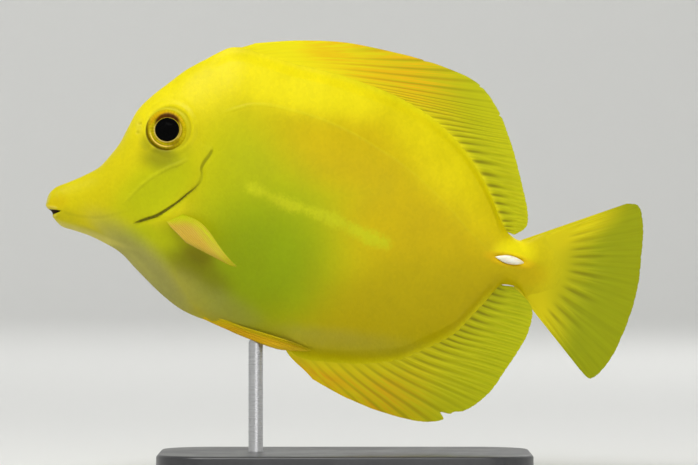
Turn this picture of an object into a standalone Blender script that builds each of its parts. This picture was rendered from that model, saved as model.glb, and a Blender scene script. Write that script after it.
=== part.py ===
# Yellow tang, life size, held level on a plain display stand.
#
# Frame: metres, +Z up. The fish faces -X and its left side is -Y. The origin is
# the centre of the stand's underside. The sizes below are in millimetres.
#
# How it is made: the body is one loft through lens-shaped sections whose top,
# bottom, width and level are smooth curves along X. Thin cuts part it into head,
# jaws, gill covers, trunk and tail stem. Each fin is a two-faced sheet whose root
# follows the body's own surface, with the fin rays as ridges on the membrane.

import math

import bmesh
import bpy
import numpy as np

MM = 0.001

# Sizes shared by all parts
GAP = 0.3                       # space between two parts that touch
FAR = 60.0                      # a distance well outside the fish
WELD = 0.002                    # points nearer than this are one point
CUT_STEPS = 49                  # points along the cuts at the neck, the stem and the tail
JAW_CUT_STEPS = 11              # points along the cuts at the jaws
GILL_STEPS = 60                 # points round a gill cover

# Body: (x, z) points of the back and the belly in the middle plane
BACK = (
    (-80.0, 72.7), (-79.5, 74.2), (-78.7, 75.6), (-77.3, 76.9), (-73.8, 78.3), (-69.7, 80.1),
    (-66.0, 82.1), (-62.5, 85.8), (-60.3, 88.7), (-58.2, 92.7), (-55.6, 97.4), (-52.3, 100.8),
    (-47.6, 104.5), (-41.0, 109.2), (-34.8, 111.7), (-28.7, 111.8), (-22.2, 110.3), (-13.4, 107.6),
    (-4.0, 105.3), (4.6, 102.5), (13.7, 98.9), (21.4, 94.6), (27.1, 90.0), (31.6, 85.2),
    (35.9, 78.9), (39.1, 72.6), (41.5, 67.5), (44.0, 64.3), (47.4, 62.8), (52.3, 62.7),
    (57.6, 62.7),
)
BELLY = (
    (-80.0, 71.8), (-79.6, 70.6), (-78.9, 69.4), (-77.5, 67.7), (-75.6, 66.4), (-72.7, 65.4),
    (-68.6, 64.2), (-64.6, 62.2), (-60.3, 59.4), (-55.5, 54.4), (-48.2, 47.3), (-43.4, 43.8),
    (-38.1, 41.5), (-30.0, 39.3), (-22.2, 36.9), (-14.7, 34.2), (-6.7, 32.4), (4.0, 31.6),
    (13.4, 32.4), (21.4, 35.5), (29.5, 39.9), (35.1, 45.8), (38.9, 49.3), (42.9, 50.7),
    (47.4, 50.7), (52.3, 50.4), (57.6, 50.4),
)
# Half width of the body, and the height of its widest line, along x
HALF_WIDTH = (
    (-80.0, 1.1), (-79.1, 1.95), (-77.5, 2.6), (-74.8, 3.2), (-70.5, 3.9), (-65.7, 4.8),
    (-60.3, 6.0), (-54.4, 7.5), (-47.4, 8.9), (-38.9, 10.2), (-28.1, 10.9), (-14.7, 10.8),
    (-1.3, 10.1), (12.1, 8.9), (22.8, 7.4), (31.4, 6.0), (38.3, 4.7), (43.7, 3.9), (49.6, 3.3),
    (57.6, 2.8),
)
WIDEST = (
    (-80.0, 72.2), (-75.8, 71.6), (-68.3, 73.4), (-57.6, 77.5), (-48.2, 80.9), (-33.5, 80.1),
    (-12.1, 76.1), (14.7, 70.2), (33.5, 62.7), (45.6, 57.1), (57.6, 56.5),
)
# Sharpness of the back and belly: 0.5 is an ellipse, 1 is a sharp lens
SHARPNESS = (
    (-80.0, 0.5), (-71.0, 0.52), (-57.6, 0.6), (-44.2, 0.7), (-28.1, 0.78), (14.7, 0.78),
    (36.2, 0.66), (47.4, 0.56), (57.6, 0.56),
)
BODY_STATIONS = (
    -80.0, -79.5, -78.9, -78.0, -76.8, -75.3, -73.4, -71.3, -68.9, -66.2, -63.5, -61.1, -58.7,
    -56.0, -53.1, -49.8, -46.6, -43.1, -39.4, -35.4, -31.1, -26.5, -21.7, -16.6, -11.3, -5.9, -0.5,
    4.8, 10.2, 15.0, 19.6, 23.6, 27.3, 30.6, 33.2, 35.6, 37.8, 39.7, 41.5, 43.4, 45.6, 48.0, 50.7,
    53.9, 57.6,
)
RING_STEPS = 13                 # steps from the back down to the belly, one side

# Cuts through the body, seen from the side, from above to below
NECK_CUT = (
    (-39.9, 132.4), (-37.0, 111.0), (-34.6, 100.2), (-33.5, 92.2), (-34.6, 87.9), (-37.0, 83.9),
    (-37.7, 81.5), (-37.7, 79.3), (-39.1, 76.9), (-42.2, 74.4), (-46.9, 70.9), (-50.7, 68.9),
    (-54.1, 67.7), (-56.7, 66.5), (-58.2, 63.8), (-59.2, 56.8), (-59.8, 38.6),
)
STEM_CUT = (
    (37.8, 100.2), (38.3, 76.1), (38.9, 65.4), (38.1, 56.8), (36.4, 46.6), (35.6, 25.2),
)
TAIL_ARC = (
    (47.7, 63.8), (50.0, 61.4), (51.3, 58.7), (51.6, 56.3), (50.8, 53.9), (48.8, 51.7),
    (45.6, 49.6),
)
UPPER_LIP_CUT = (
    (-78.5, 86.8), (-77.5, 77.2), (-76.5, 74.5), (-75.8, 72.4), (-75.4, 70.5),
)
LOWER_JAW_CUT = (
    (-75.4, 70.5), (-72.6, 69.5), (-69.4, 68.3), (-66.5, 65.9), (-64.3, 61.9), (-63.0, 46.6),
)
MOUTH_CORNER = (-75.8, 70.5)
MOUTH_UPPER = (-80.7, 71.4)
MOUTH_LOWER = (-80.7, 69.4)

# Gill covers: outline seen from the side, and how deep the plate reaches
GILL_COVER = (
    (-35.1, 87.6), (-37.3, 84.6), (-38.2, 82.0), (-38.3, 79.6), (-39.7, 77.6), (-42.7, 75.0),
    (-47.3, 71.6), (-50.9, 69.7), (-54.4, 68.5), (-56.8, 67.7), (-58.0, 69.7), (-57.6, 72.8),
    (-55.4, 76.3), (-52.0, 79.1), (-47.6, 81.7), (-43.5, 83.9), (-40.7, 86.8), (-38.1, 88.4),
)
GILL_PLATE_TOP = 86.8
GILL_INNER_TOP = 7.3            # distance of its inner face from the middle plane, top
GILL_INNER_SLOPE = 0.155        # and how fast that shrinks downward

# Eyes
EYE_CENTRE = (-47.3, 92.1)
EYE_RADII = (6.3, 3.6, 6.1)     # along x, y, z
EYE_INSET = 2.15                # centre of the ball below the skin
# Nostrils, two pits in front of each eye
NOSTRILS = (
    (-54.8, 93.8), (-55.3, 91.4),
)
NOSTRIL_RADII = (0.55, 0.42)
NOSTRIL_DEPTH = 0.7

# Tail spines, the white blades folded into the sides of the tail stem
SPINE_CENTRE = (44.0, 57.4)
SPINE_LENGTH = 7.8
SPINE_HEIGHT = 2.3
SPINE_DEPTH = 1.7
SPINE_TILT = 12.0               # degrees, nose up
SPINE_PROUD = 0.25              # its middle plane stands this far off the skin
SPINE_END = 0.08                # height and depth left at its ends, as a share
SPINE_TAPER = (1.7, 0.85)       # powers that shape its outline
GROOVE_END_GAP = 1.2            # the groove's extra length, as a share of its gap

# Upright fins: matching points on the root line and on the free edge
DORSAL_ROOT = (
    (-36.7, 111.0), (-29.7, 111.8), (-21.7, 110.1), (-12.1, 107.3), (-1.3, 104.5), (9.4, 100.7),
    (20.1, 95.4), (25.5, 91.5), (30.8, 86.2), (36.2, 78.5), (39.1, 72.6), (41.8, 67.4),
    (43.3, 65.2),
)
DORSAL_EDGE = (
    (-23.9, 115.5), (-12.1, 116.2), (0.5, 115.6), (14.7, 112.7), (25.6, 109.5), (35.6, 104.8),
    (41.1, 97.6), (43.7, 91.2), (45.6, 85.3), (47.7, 76.8), (49.0, 70.5), (48.7, 66.3),
    (45.6, 64.1),
)
DORSAL_SPINES = 5
DORSAL_RAYS = 24
ANAL_ROOT = (
    (-17.2, 34.9), (-9.9, 33.0), (-1.9, 31.8), (5.9, 31.6), (13.4, 32.4), (20.4, 35.0),
    (25.5, 37.7), (30.0, 40.4), (34.0, 44.6), (37.3, 48.0), (41.5, 50.4),
)
ANAL_EDGE = (
    (-8.6, 25.3), (0.3, 20.4), (11.3, 16.1), (22.8, 13.9), (32.2, 16.9), (38.7, 21.7),
    (43.1, 27.9), (46.5, 33.0), (49.2, 38.1), (50.1, 44.6), (45.3, 50.2),
)
ANAL_SPINES = 3
ANAL_RAYS = 21
TAIL_ROOT = (
    (47.8, 62.8), (49.8, 61.1), (51.1, 59.0), (51.4, 56.5), (50.7, 54.1), (48.6, 52.0),
    (46.2, 50.6),
)
TAIL_EDGE = (
    (75.6, 72.5), (78.9, 71.6), (80.0, 65.7), (79.5, 58.2), (78.7, 50.7), (76.3, 41.8),
    (71.7, 31.4), (66.4, 25.6), (63.2, 27.7),
)
TAIL_RAYS = 16

# Paired fins: root on the body, free edge out in space (x, distance from middle, z)
PECTORAL_ROOT = (
    (-43.8, 69.6), (-48.0, 67.4),
)
PECTORAL_EDGE = (
    (-29.2, 22.0, 56.4), (-30.6, 23.2, 56.3), (-33.7, 22.6, 57.8), (-37.4, 20.0, 59.8),
    (-41.7, 16.5, 61.9),
)
PECTORAL_RAYS = 15
PECTORAL_BOW = (1.5, 0.9, 1.5)  # how far the rays bow backward, out and up
PELVIC_ROOT = (
    (-36.9, 43.6), (-37.9, 41.8),
)
PELVIC_EDGE = (
    (-13.1, 3.7, 35.0), (-9.1, 3.4, 33.1), (-12.3, 3.15, 33.0), (-17.4, 3.0, 33.4),
    (-22.2, 2.85, 34.9),
)
PELVIC_RAYS = 6
PELVIC_BOW = (0.0, 0.0, -0.7)
DORSAL_BOW = (-0.3, 0.0, 0.7)    # how far the front rays bow, fading to the rear
ANAL_BOW = (-0.5, 0.0, -0.7)
DORSAL_WAVE = 0.5               # how far the free edges sway sideways
ANAL_WAVE = 0.4
TAIL_SWAY = 1.2
TAIL_SWAY_TURN = (2.6, -0.6)    # radians across the fin, and where the sway begins

# Fin thickness (millimetres): at the root, over most of the fin, at the edge
FIN_ROOT = 1.5
FIN_MEMBRANE = 0.56
FIN_EDGE = 0.5
RAY_HEIGHT = 0.24               # how far a ray stands off each face
RAY_SHARE = 0.27                # half the ray's share of the distance between rays
EDGE_NOTCH = 0.3                # how far the membrane falls back between ray tips
ROOT_LIFT = 0.42                # the middle of an upright fin's root, above the body's edge
SLOPE_REACH = 0.8               # the body's slope at a fin is measured this far each way
BOW_FADE = 0.5                  # share of a fin's bow that is gone at its last ray

# Rows along the rays, as shares from the root to the free edge
FIN_ROWS = np.array((0.0, 0.1, 0.25, 0.45, 0.65, 0.84, 1.0))
PAIRED_ROWS = np.array((0.0, 0.14, 0.4, 0.7, 1.0))
# Where the root's thickness ends, the membrane's ends and the edge's begins
SHEET_ROWS = (0.0, 0.3, 0.8, 1.0)
# Height of the rays along themselves: (share of the way, share of the height)
RAY_RISE = ((0.0, 0.1, 0.75, 1.0), (0.0, 1.0, 0.75, 0.25))
# How the tail fin's root thins from the stem's width: (share of the way, share left)
TAIL_SWELL = ((0.0, 0.1, 0.25, 0.45), (1.0, 0.62, 0.2, 0.0))

# Stand
BASE_LENGTH = 100.0
BASE_WIDTH = 56.0
BASE_HEIGHT = 6.0
BASE_CORNER = 14.0
BASE_BEVEL = 1.0
ROD_X = -23.9
ROD_RADIUS = 2.0
ROD_IN_BASE = 3.5
ROD_IN_BELLY = 7.0
HOLE_OVERSHOOT = 5.0            # how far the base's hole cutter stands above it

# Colour, roughness and metallic of each part
YELLOW = (0.72, 0.55, 0.02)
FLANK = (0.55, 0.48, 0.02)
FIN_YELLOW = (0.60, 0.52, 0.02)
FIN_PEACH = (0.78, 0.48, 0.12)
WHITE = (0.85, 0.84, 0.78)
LOOKS = {
    "head": (YELLOW, 0.45, 0.0),
    "upper_jaw": (YELLOW, 0.45, 0.0),
    "lower_jaw": (YELLOW, 0.45, 0.0),
    "gill_cover_left": (YELLOW, 0.45, 0.0),
    "gill_cover_right": (YELLOW, 0.45, 0.0),
    "trunk": (FLANK, 0.45, 0.0),
    "tail_stem": (FLANK, 0.45, 0.0),
    "dorsal_fin": (FIN_YELLOW, 0.5, 0.0),
    "anal_fin": (FIN_YELLOW, 0.5, 0.0),
    "tail_fin": (FIN_YELLOW, 0.5, 0.0),
    "pectoral_fin_left": (FIN_PEACH, 0.5, 0.0),
    "pectoral_fin_right": (FIN_PEACH, 0.5, 0.0),
    "pelvic_fin_left": (FIN_PEACH, 0.5, 0.0),
    "pelvic_fin_right": (FIN_PEACH, 0.5, 0.0),
    "eye_left": ((0.03, 0.02, 0.01), 0.1, 0.0),
    "eye_right": ((0.03, 0.02, 0.01), 0.1, 0.0),
    "tail_spine_left": (WHITE, 0.35, 0.0),
    "tail_spine_right": (WHITE, 0.35, 0.0),
    "stand_base": ((0.05, 0.05, 0.055), 0.35, 0.0),
    "stand_rod": ((0.55, 0.55, 0.56), 0.3, 1.0),
}


def clear_scene():
    """Remove every object of the starting scene."""
    for thing in list(bpy.data.objects):
        bpy.data.objects.remove(thing, do_unlink=True)


def add_collection(name):
    """A new collection in the scene."""
    collection = bpy.data.collections.new(name)
    bpy.context.scene.collection.children.link(collection)
    return collection


def profile(points):
    """A smooth function through (x, value) points that never overshoots them."""
    xs = np.array([point[0] for point in points], float)
    values = np.array([point[1] for point in points], float)
    step = np.diff(xs)
    slope = np.diff(values) / step
    tangent = np.concatenate(([slope[0]], np.zeros(len(xs) - 2), [slope[-1]]))
    same_way = slope[:-1] * slope[1:] > 0
    first = np.where(same_way, slope[:-1], 1.0)
    second = np.where(same_way, slope[1:], 1.0)
    harmonic = 2.0 * first * second / (first + second)
    tangent[1:-1] = np.where(same_way, harmonic, 0.0)

    def value(x):
        x = np.clip(x, xs[0], xs[-1])
        index = np.clip(np.searchsorted(xs, x, side="right") - 1, 0, len(xs) - 2)
        width = step[index]
        t = (x - xs[index]) / width
        return (
            (2 * t ** 3 - 3 * t ** 2 + 1) * values[index]
            + (t ** 3 - 2 * t ** 2 + t) * width * tangent[index]
            + (3 * t ** 2 - 2 * t ** 3) * values[index + 1]
            + (t ** 3 - t ** 2) * width * tangent[index + 1]
        )

    return value


def smooth_line(points, where):
    """Points on a smooth curve through the given points, where running from 0 to 1."""
    points = np.array(points, float)
    place = np.clip(np.asarray(where, float), 0.0, 1.0) * (len(points) - 1)
    index = np.clip(np.floor(place).astype(int), 0, len(points) - 2)
    t = (place - index)[..., None]
    before = points[np.maximum(index - 1, 0)]
    start = points[index]
    end = points[index + 1]
    after = points[np.minimum(index + 2, len(points) - 1)]
    return 0.5 * (
        2 * start
        + (end - before) * t
        + (2 * before - 5 * start + 4 * end - after) * t ** 2
        + (3 * start - before - 3 * end + after) * t ** 3
    )


def shifted(line, distance):
    """An (x, z) line moved sideways: a line that runs down moves toward +X."""
    run = np.gradient(line, axis=0)
    run = run / np.linalg.norm(run, axis=1)[:, None]
    return line + distance * np.stack((-run[:, 1], run[:, 0]), axis=1)


# The body's sizes at each station. Between stations they change in straight
# lines, as the loft's own faces do, so that fins can follow it closely.
STATIONS = np.array(BODY_STATIONS, float)
STATION_BACK = profile(BACK)(STATIONS)
STATION_BELLY = profile(BELLY)(STATIONS)
STATION_WIDTH = profile(HALF_WIDTH)(STATIONS)
STATION_WIDEST = profile(WIDEST)(STATIONS)
STATION_SHARPNESS = profile(SHARPNESS)(STATIONS)


def back_at(x):
    """Height of the back."""
    return np.interp(x, STATIONS, STATION_BACK)


def belly_at(x):
    """Height of the belly."""
    return np.interp(x, STATIONS, STATION_BELLY)


def half_width_at(x, z):
    """Half the body's thickness at a point seen from the side, zero outside it."""
    level = np.interp(x, STATIONS, STATION_WIDEST)
    reach = np.where(z > level, back_at(x) - level, level - belly_at(x))
    share = np.clip((z - level) / reach, -1.0, 1.0)
    width = np.interp(x, STATIONS, STATION_WIDTH)
    sharpness = np.interp(x, STATIONS, STATION_SHARPNESS)
    return width * (1.0 - share ** 2) ** sharpness


def depth_below_edge(x, half, edge_at):
    """How far below the back or belly line the body is twice the half thickness wide."""
    level = np.interp(x, STATIONS, STATION_WIDEST)
    reach = np.abs(edge_at(x) - level)
    width = np.interp(x, STATIONS, STATION_WIDTH)
    sharpness = np.interp(x, STATIONS, STATION_SHARPNESS)
    share = np.clip(half / width, 0.0, 1.0) ** (1.0 / sharpness)
    return reach * (1.0 - np.sqrt(1.0 - share))


def mesh_object(name, vertices, faces, collection):
    """An object from vertices in millimetres, closed, with its faces outward."""
    mesh = bpy.data.meshes.new(name)
    mesh.from_pydata([tuple(vertex * MM) for vertex in np.asarray(vertices)], [], faces)
    work = bmesh.new()
    work.from_mesh(mesh)
    bmesh.ops.recalc_face_normals(work, faces=work.faces)
    if work.calc_volume(signed=True) < 0:
        bmesh.ops.reverse_faces(work, faces=work.faces)
    work.to_mesh(mesh)
    work.free()
    thing = bpy.data.objects.new(name, mesh)
    collection.objects.link(thing)
    return thing


def keep_largest(thing):
    """Keep only the largest closed surface of an object, in clean triangles."""
    work = bmesh.new()
    work.from_mesh(thing.data)
    bmesh.ops.remove_doubles(work, verts=work.verts, dist=WELD * MM)
    bmesh.ops.dissolve_degenerate(work, edges=work.edges, dist=WELD * MM)
    work.faces.ensure_lookup_table()
    unseen = set(work.faces)
    groups = []
    while unseen:
        stack = [unseen.pop()]
        group = []
        while stack:
            face = stack.pop()
            group.append(face)
            for edge in face.edges:
                for neighbour in edge.link_faces:
                    if neighbour in unseen:
                        unseen.remove(neighbour)
                        stack.append(neighbour)
        groups.append(group)
    largest = max(groups, key=lambda group: sum(face.calc_area() for face in group))
    others = [face for group in groups if group is not largest for face in group]
    if others:
        bmesh.ops.delete(work, geom=others, context="FACES")
    bmesh.ops.triangulate(work, faces=work.faces)
    work.to_mesh(thing.data)
    work.free()


def carve(thing, tool, operation="DIFFERENCE"):
    """Cut an object with a tool, or keep only what lies inside the tool."""
    modifier = thing.modifiers.new("carve", "BOOLEAN")
    modifier.object = tool
    modifier.operation = operation
    modifier.solver = "EXACT"
    bpy.context.view_layer.update()
    evaluated = thing.evaluated_get(bpy.context.evaluated_depsgraph_get())
    mesh = bpy.data.meshes.new_from_object(evaluated)
    thing.modifiers.clear()
    thing.data = mesh
    keep_largest(thing)


def loft(name, rings, collection):
    """A closed body through rings of equal length, its ends closed flat."""
    count = len(rings[0])
    faces = [list(range(count))]
    for ring in range(len(rings) - 1):
        for step in range(count):
            here = ring * count + step
            beside = ring * count + (step + 1) % count
            faces.append([here, beside, beside + count, here + count])
    last = (len(rings) - 1) * count
    faces.append([last + step for step in reversed(range(count))])
    return mesh_object(name, np.concatenate(rings), faces, collection)


def body_loft(name, collection):
    """The whole body from the lips to the root of the tail, without fins."""
    angle = np.linspace(0.5 * math.pi, -0.5 * math.pi, RING_STEPS + 1)
    rings = []
    for index, x in enumerate(STATIONS):
        level = STATION_WIDEST[index]
        reach = np.where(
            angle > 0, STATION_BACK[index] - level, level - STATION_BELLY[index]
        )
        z = level + reach * np.sin(angle)
        spread = np.clip(np.cos(angle), 0.0, 1.0) ** (2.0 * STATION_SHARPNESS[index])
        y = STATION_WIDTH[index] * spread
        left = np.stack((np.full_like(z, x), -y, z), axis=1)
        right = left[-2:0:-1] * np.array((1.0, -1.0, 1.0))
        rings.append(np.concatenate((left, right)))
    return loft(name, rings, collection)


def side_prism(name, outline, near, far, collection):
    """A block with an (x, z) outline between two distances along Y at each point."""
    outline = np.asarray(outline, float)
    near = np.broadcast_to(near, len(outline))
    far = np.broadcast_to(far, len(outline))
    first = np.stack((outline[:, 0], near, outline[:, 1]), axis=1)
    second = np.stack((outline[:, 0], far, outline[:, 1]), axis=1)
    return loft(name, [first, second], collection)


def ellipsoid(name, centre, radii, collection, around=20, along=10):
    """An ellipsoid whose poles lie on the Y axis through its centre."""
    turn = np.linspace(0.0, 2.0 * math.pi, around, endpoint=False)
    tilt = np.linspace(0.0, math.pi, along + 1)[1:-1]
    vertices = [np.array(centre) + np.array((0.0, -radii[1], 0.0))]
    for angle in tilt:
        for step in turn:
            vertices.append(np.array(centre) + np.array((
                radii[0] * math.sin(angle) * math.cos(step),
                -radii[1] * math.cos(angle),
                radii[2] * math.sin(angle) * math.sin(step),
            )))
    vertices.append(np.array(centre) + np.array((0.0, radii[1], 0.0)))
    faces = []
    last = len(vertices) - 1
    for step in range(around):
        beside = (step + 1) % around
        faces.append([0, 1 + step, 1 + beside])
        for ring in range(along - 2):
            start = 1 + ring * around
            faces.append([
                start + step, start + around + step, start + around + beside, start + beside,
            ])
        start = 1 + (along - 2) * around
        faces.append([start + step, last, start + beside])
    return mesh_object(name, vertices, faces, collection)


def ray_columns(rays):
    """Places across a fin, three to a ray, and how much of the ridge stands at each."""
    places = [0.0]
    ridges = [0.5]
    for ray in range(rays):
        middle = (ray + 0.5) / rays
        places += [middle - RAY_SHARE / rays, middle, middle + RAY_SHARE / rays]
        ridges += [0.0, 1.0, 0.0]
    places.append(1.0)
    ridges.append(0.0)
    return np.array(places), np.array(ridges)


def fin_half_thickness(ridges, rows, root):
    """Half thickness over a fin: thick at the root, a membrane, ridges along the rays."""
    sheet = np.interp(rows, SHEET_ROWS, (root, FIN_MEMBRANE, FIN_MEMBRANE, FIN_EDGE))
    rise = np.interp(rows, *RAY_RISE)
    return 0.5 * sheet[None, :] + RAY_HEIGHT * ridges[:, None] * rise[None, :]


def fin_solid(name, near, far, root, collection):
    """A closed body between two faces of the same grid, split into triangles alike."""
    across, along = near.shape[:2]
    size = across * along
    vertices = np.concatenate((near.reshape(-1, 3), far.reshape(-1, 3), root))

    def corner(column, row, face):
        return face * size + column * along + row

    faces = []
    for column in range(across - 1):
        for row in range(along - 1):
            for face in (0, 1):
                a = corner(column, row, face)
                b = corner(column + 1, row, face)
                c = corner(column + 1, row + 1, face)
                d = corner(column, row + 1, face)
                faces += [[a, b, c], [a, c, d]] if face == 0 else [[c, b, a], [d, c, a]]
        tip_near = corner(column, along - 1, 0)
        tip_far = corner(column, along - 1, 1)
        faces += [
            [tip_near, tip_near + along, tip_far + along],
            [tip_near, tip_far + along, tip_far],
        ]
        for face in (0, 1):
            here = corner(column, 0, face)
            ridge = 2 * size + column
            strip = [[here, ridge, ridge + 1], [here, ridge + 1, here + along]]
            faces += strip if face == 0 else [side[::-1] for side in strip]
    for column in (0, across - 1):
        for row in range(along - 1):
            a = corner(column, row, 0)
            b = corner(column, row, 1)
            strip = [[a, a + 1, b + 1], [a, b + 1, b]]
            faces += strip if column == 0 else [side[::-1] for side in strip]
        cap = [corner(column, 0, 0), corner(column, 0, 1), 2 * size + column]
        faces.append(cap if column == 0 else cap[::-1])
    return mesh_object(name, vertices, faces, collection)


def fin_grid(root, edge, places, ridges, bow, along=FIN_ROWS):
    """The middle surface of a fin, its membrane falling back between the ray tips."""
    rows = np.broadcast_to(along, (len(places), len(along)))
    length = np.linalg.norm(edge - root, axis=1)
    inner = (places > 0.0) & (places < 1.0) & (ridges < 0.25)
    fall = np.where(inner, EDGE_NOTCH, 0.0) / length
    rows = rows * (1.0 - fall[:, None] * along[None, :] ** 4)
    bend = np.sin(math.pi * rows)[..., None] * np.array(bow)
    fade = (1.0 - BOW_FADE * places)[:, None, None]
    return root[:, None, :] + (edge - root)[:, None, :] * rows[..., None] + bend * fade


def upright_fin(name, root_points, edge_points, edge_at, side, rays, bow, wave, collection):
    """A fin in the middle plane that stands on the line of the back or the belly."""
    places, ridges = ray_columns(rays)
    x = smooth_line(root_points, places)[:, 0]
    z = edge_at(x)
    slope = (edge_at(x + SLOPE_REACH) - edge_at(x - SLOPE_REACH)) / (2.0 * SLOPE_REACH)
    outward = np.stack((-slope, np.ones_like(slope)), axis=1) * side
    outward = outward / np.linalg.norm(outward, axis=1)[:, None]
    foot = np.stack((x, z), axis=1)
    half = fin_half_thickness(ridges, FIN_ROWS, FIN_ROOT)
    depth = depth_below_edge(x, half[:, 0], edge_at) * np.abs(outward[:, 1])
    ridge = foot + outward * ROOT_LIFT
    side_foot = foot + outward * (ROOT_LIFT - depth)[:, None]
    tip = smooth_line(edge_points, places)
    root = np.stack((ridge[:, 0], np.zeros_like(x), ridge[:, 1]), axis=1)
    edge = np.stack((tip[:, 0], np.zeros_like(x), tip[:, 1]), axis=1)
    middle = fin_grid(root, edge, places, ridges, bow)
    middle[:, 0, 0] = side_foot[:, 0]
    middle[:, 0, 2] = side_foot[:, 1]
    sway = wave * np.sin(2.0 * math.pi * places)[:, None] * FIN_ROWS[None, :] ** 2
    near = middle.copy()
    far = middle.copy()
    near[..., 1] = sway - half
    far[..., 1] = sway + half
    return fin_solid(name, near, far, root, collection)


def tail_fin(collection):
    """The tail fin, as thick at its root as the tail stem it grows from."""
    places, ridges = ray_columns(TAIL_RAYS)
    fine = np.linspace(0.0, 1.0, 400)
    arc = smooth_line(TAIL_ARC, fine)
    inside = fine[(arc[:, 1] < back_at(arc[:, 0])) & (arc[:, 1] > belly_at(arc[:, 0]))]
    along = inside[0] + (inside[-1] - inside[0]) * places
    foot = smooth_line(TAIL_ARC, along)
    thickness = np.maximum(half_width_at(foot[:, 0], foot[:, 1]), 0.5 * FIN_EDGE)
    foot = shifted(foot, GAP)
    tip = smooth_line(TAIL_EDGE, places)
    root = np.stack((foot[:, 0], np.zeros(len(foot)), foot[:, 1]), axis=1)
    edge = np.stack((tip[:, 0], np.zeros(len(tip)), tip[:, 1]), axis=1)
    middle = fin_grid(root, edge, places, ridges, (0.0, 0.0, 0.0))
    half = fin_half_thickness(ridges, FIN_ROWS, FIN_MEMBRANE)
    swell = np.interp(FIN_ROWS, *TAIL_SWELL)
    half = half + np.maximum(thickness - half[:, 0], 0.0)[:, None] * swell[None, :]
    turn = TAIL_SWAY_TURN[0] * places + TAIL_SWAY_TURN[1]
    sway = TAIL_SWAY * np.sin(turn)[:, None] * FIN_ROWS[None, :] ** 2
    near = middle.copy()
    far = middle.copy()
    near[..., 1] = sway - half
    far[..., 1] = sway + half
    return fin_solid("tail_fin", near, far, root, collection)


def paired_fin(name, side, root_points, edge_points, rays, bow, flat_root, collection):
    """A fin on one side of the body: side is -1 for the left and 1 for the right."""
    places, ridges = ray_columns(rays)
    foot = smooth_line(root_points, places)
    tip = smooth_line(edge_points, places)
    skin = half_width_at(foot[:, 0], foot[:, 1]) + GAP
    half = fin_half_thickness(ridges, PAIRED_ROWS, FIN_ROOT)
    lift = half[:, 0] if flat_root else 0.0
    root = np.stack((foot[:, 0], skin + lift, foot[:, 1]), axis=1)
    middle = fin_grid(root, tip, places, ridges, bow, PAIRED_ROWS)
    across = np.gradient(middle, axis=0)
    along = np.gradient(middle, axis=1)
    normal = np.cross(across, along)
    normal = normal / np.linalg.norm(normal, axis=2)[..., None]
    if normal[len(places) // 2, 2, 1] < 0:
        normal = -normal
    near = middle + normal * half[..., None]
    far = middle - normal * half[..., None]
    if flat_root:
        near[:, 0, :] = root + np.outer(half[:, 0], (0.0, 1.0, 0.0))
        far[:, 0, :] = root - np.outer(half[:, 0], (0.0, 1.0, 0.0))
    else:
        for face in (near, far):
            face[:, 0, 1] = half_width_at(face[:, 0, 0], face[:, 0, 2]) + GAP
    mirror = np.array((1.0, side, 1.0))
    return fin_solid(name, near * mirror, far * mirror, root * mirror, collection)


def spine_blade(name, side, extra, collection):
    """A tail spine folded against the stem, or the hollow for it when extra is more."""
    x, z = SPINE_CENTRE
    tilt = math.radians(SPINE_TILT)
    forward = np.array((-math.cos(tilt), 0.0, math.sin(tilt)))
    upward = np.array((math.sin(tilt), 0.0, math.cos(tilt)))
    outward = np.array((0.0, side, 0.0))
    skin = half_width_at(x, z) + SPINE_PROUD
    centre = np.array((x, side * skin, z))
    length = 0.5 * SPINE_LENGTH + GROOVE_END_GAP * extra
    turn = np.linspace(0.0, 2.0 * math.pi, 12, endpoint=False)
    rings = []
    for step in np.linspace(-1.0, 1.0, 11):
        share = (1.0 - abs(step) ** SPINE_TAPER[0]) ** SPINE_TAPER[1]
        share = SPINE_END + (1.0 - SPINE_END) * share
        high = (0.5 * SPINE_HEIGHT + extra) * share
        deep = (0.5 * SPINE_DEPTH + extra) * share
        ring = (
            np.outer(np.cos(turn), upward) * high
            + np.outer(np.sin(turn), outward) * deep
            + forward * length * step
            + centre
        )
        rings.append(ring)
    return loft(name, rings, collection)


def cylinder(name, centre, radius, bottom, top, collection, sides=24):
    """An upright round bar."""
    turn = np.linspace(0.0, 2.0 * math.pi, sides, endpoint=False)
    ring = np.stack((
        centre[0] + radius * np.cos(turn),
        centre[1] + radius * np.sin(turn),
        np.zeros(sides),
    ), axis=1)
    rings = [ring + np.array((0.0, 0.0, height)) for height in (bottom, top)]
    return loft(name, rings, collection)


def stand_base(collection, cutters):
    """The flat base: a rounded plate with a softened top edge and a hole for the rod."""
    def outline(inset, height):
        points = []
        corners = ((1, 1, 0.0), (-1, 1, 90.0), (-1, -1, 180.0), (1, -1, 270.0))
        for right, back, start in corners:
            middle_x = right * (0.5 * BASE_LENGTH - BASE_CORNER)
            middle_y = back * (0.5 * BASE_WIDTH - BASE_CORNER)
            for degrees in np.linspace(start, start + 90.0, 8):
                angle = math.radians(degrees)
                reach = BASE_CORNER - inset
                points.append((
                    middle_x + reach * math.cos(angle),
                    middle_y + reach * math.sin(angle),
                    height,
                ))
        return np.array(points)

    rings = [outline(0.0, 0.0), outline(0.0, BASE_HEIGHT - BASE_BEVEL)]
    for degrees in (30.0, 60.0, 90.0):
        angle = math.radians(degrees)
        inset = BASE_BEVEL * (1.0 - math.cos(angle))
        rings.append(outline(inset, BASE_HEIGHT - BASE_BEVEL * (1.0 - math.sin(angle))))
    base = loft("stand_base", rings, collection)
    hole = cylinder(
        "hole_in_base", (ROD_X, 0.0), ROD_RADIUS + GAP,
        BASE_HEIGHT - ROD_IN_BASE, BASE_HEIGHT + HOLE_OVERSHOOT, cutters,
    )
    carve(base, hole)
    return base


def copy_of(thing, name, collection):
    """An independent copy of an object."""
    twin = bpy.data.objects.new(name, thing.data.copy())
    collection.objects.link(twin)
    return twin


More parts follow.
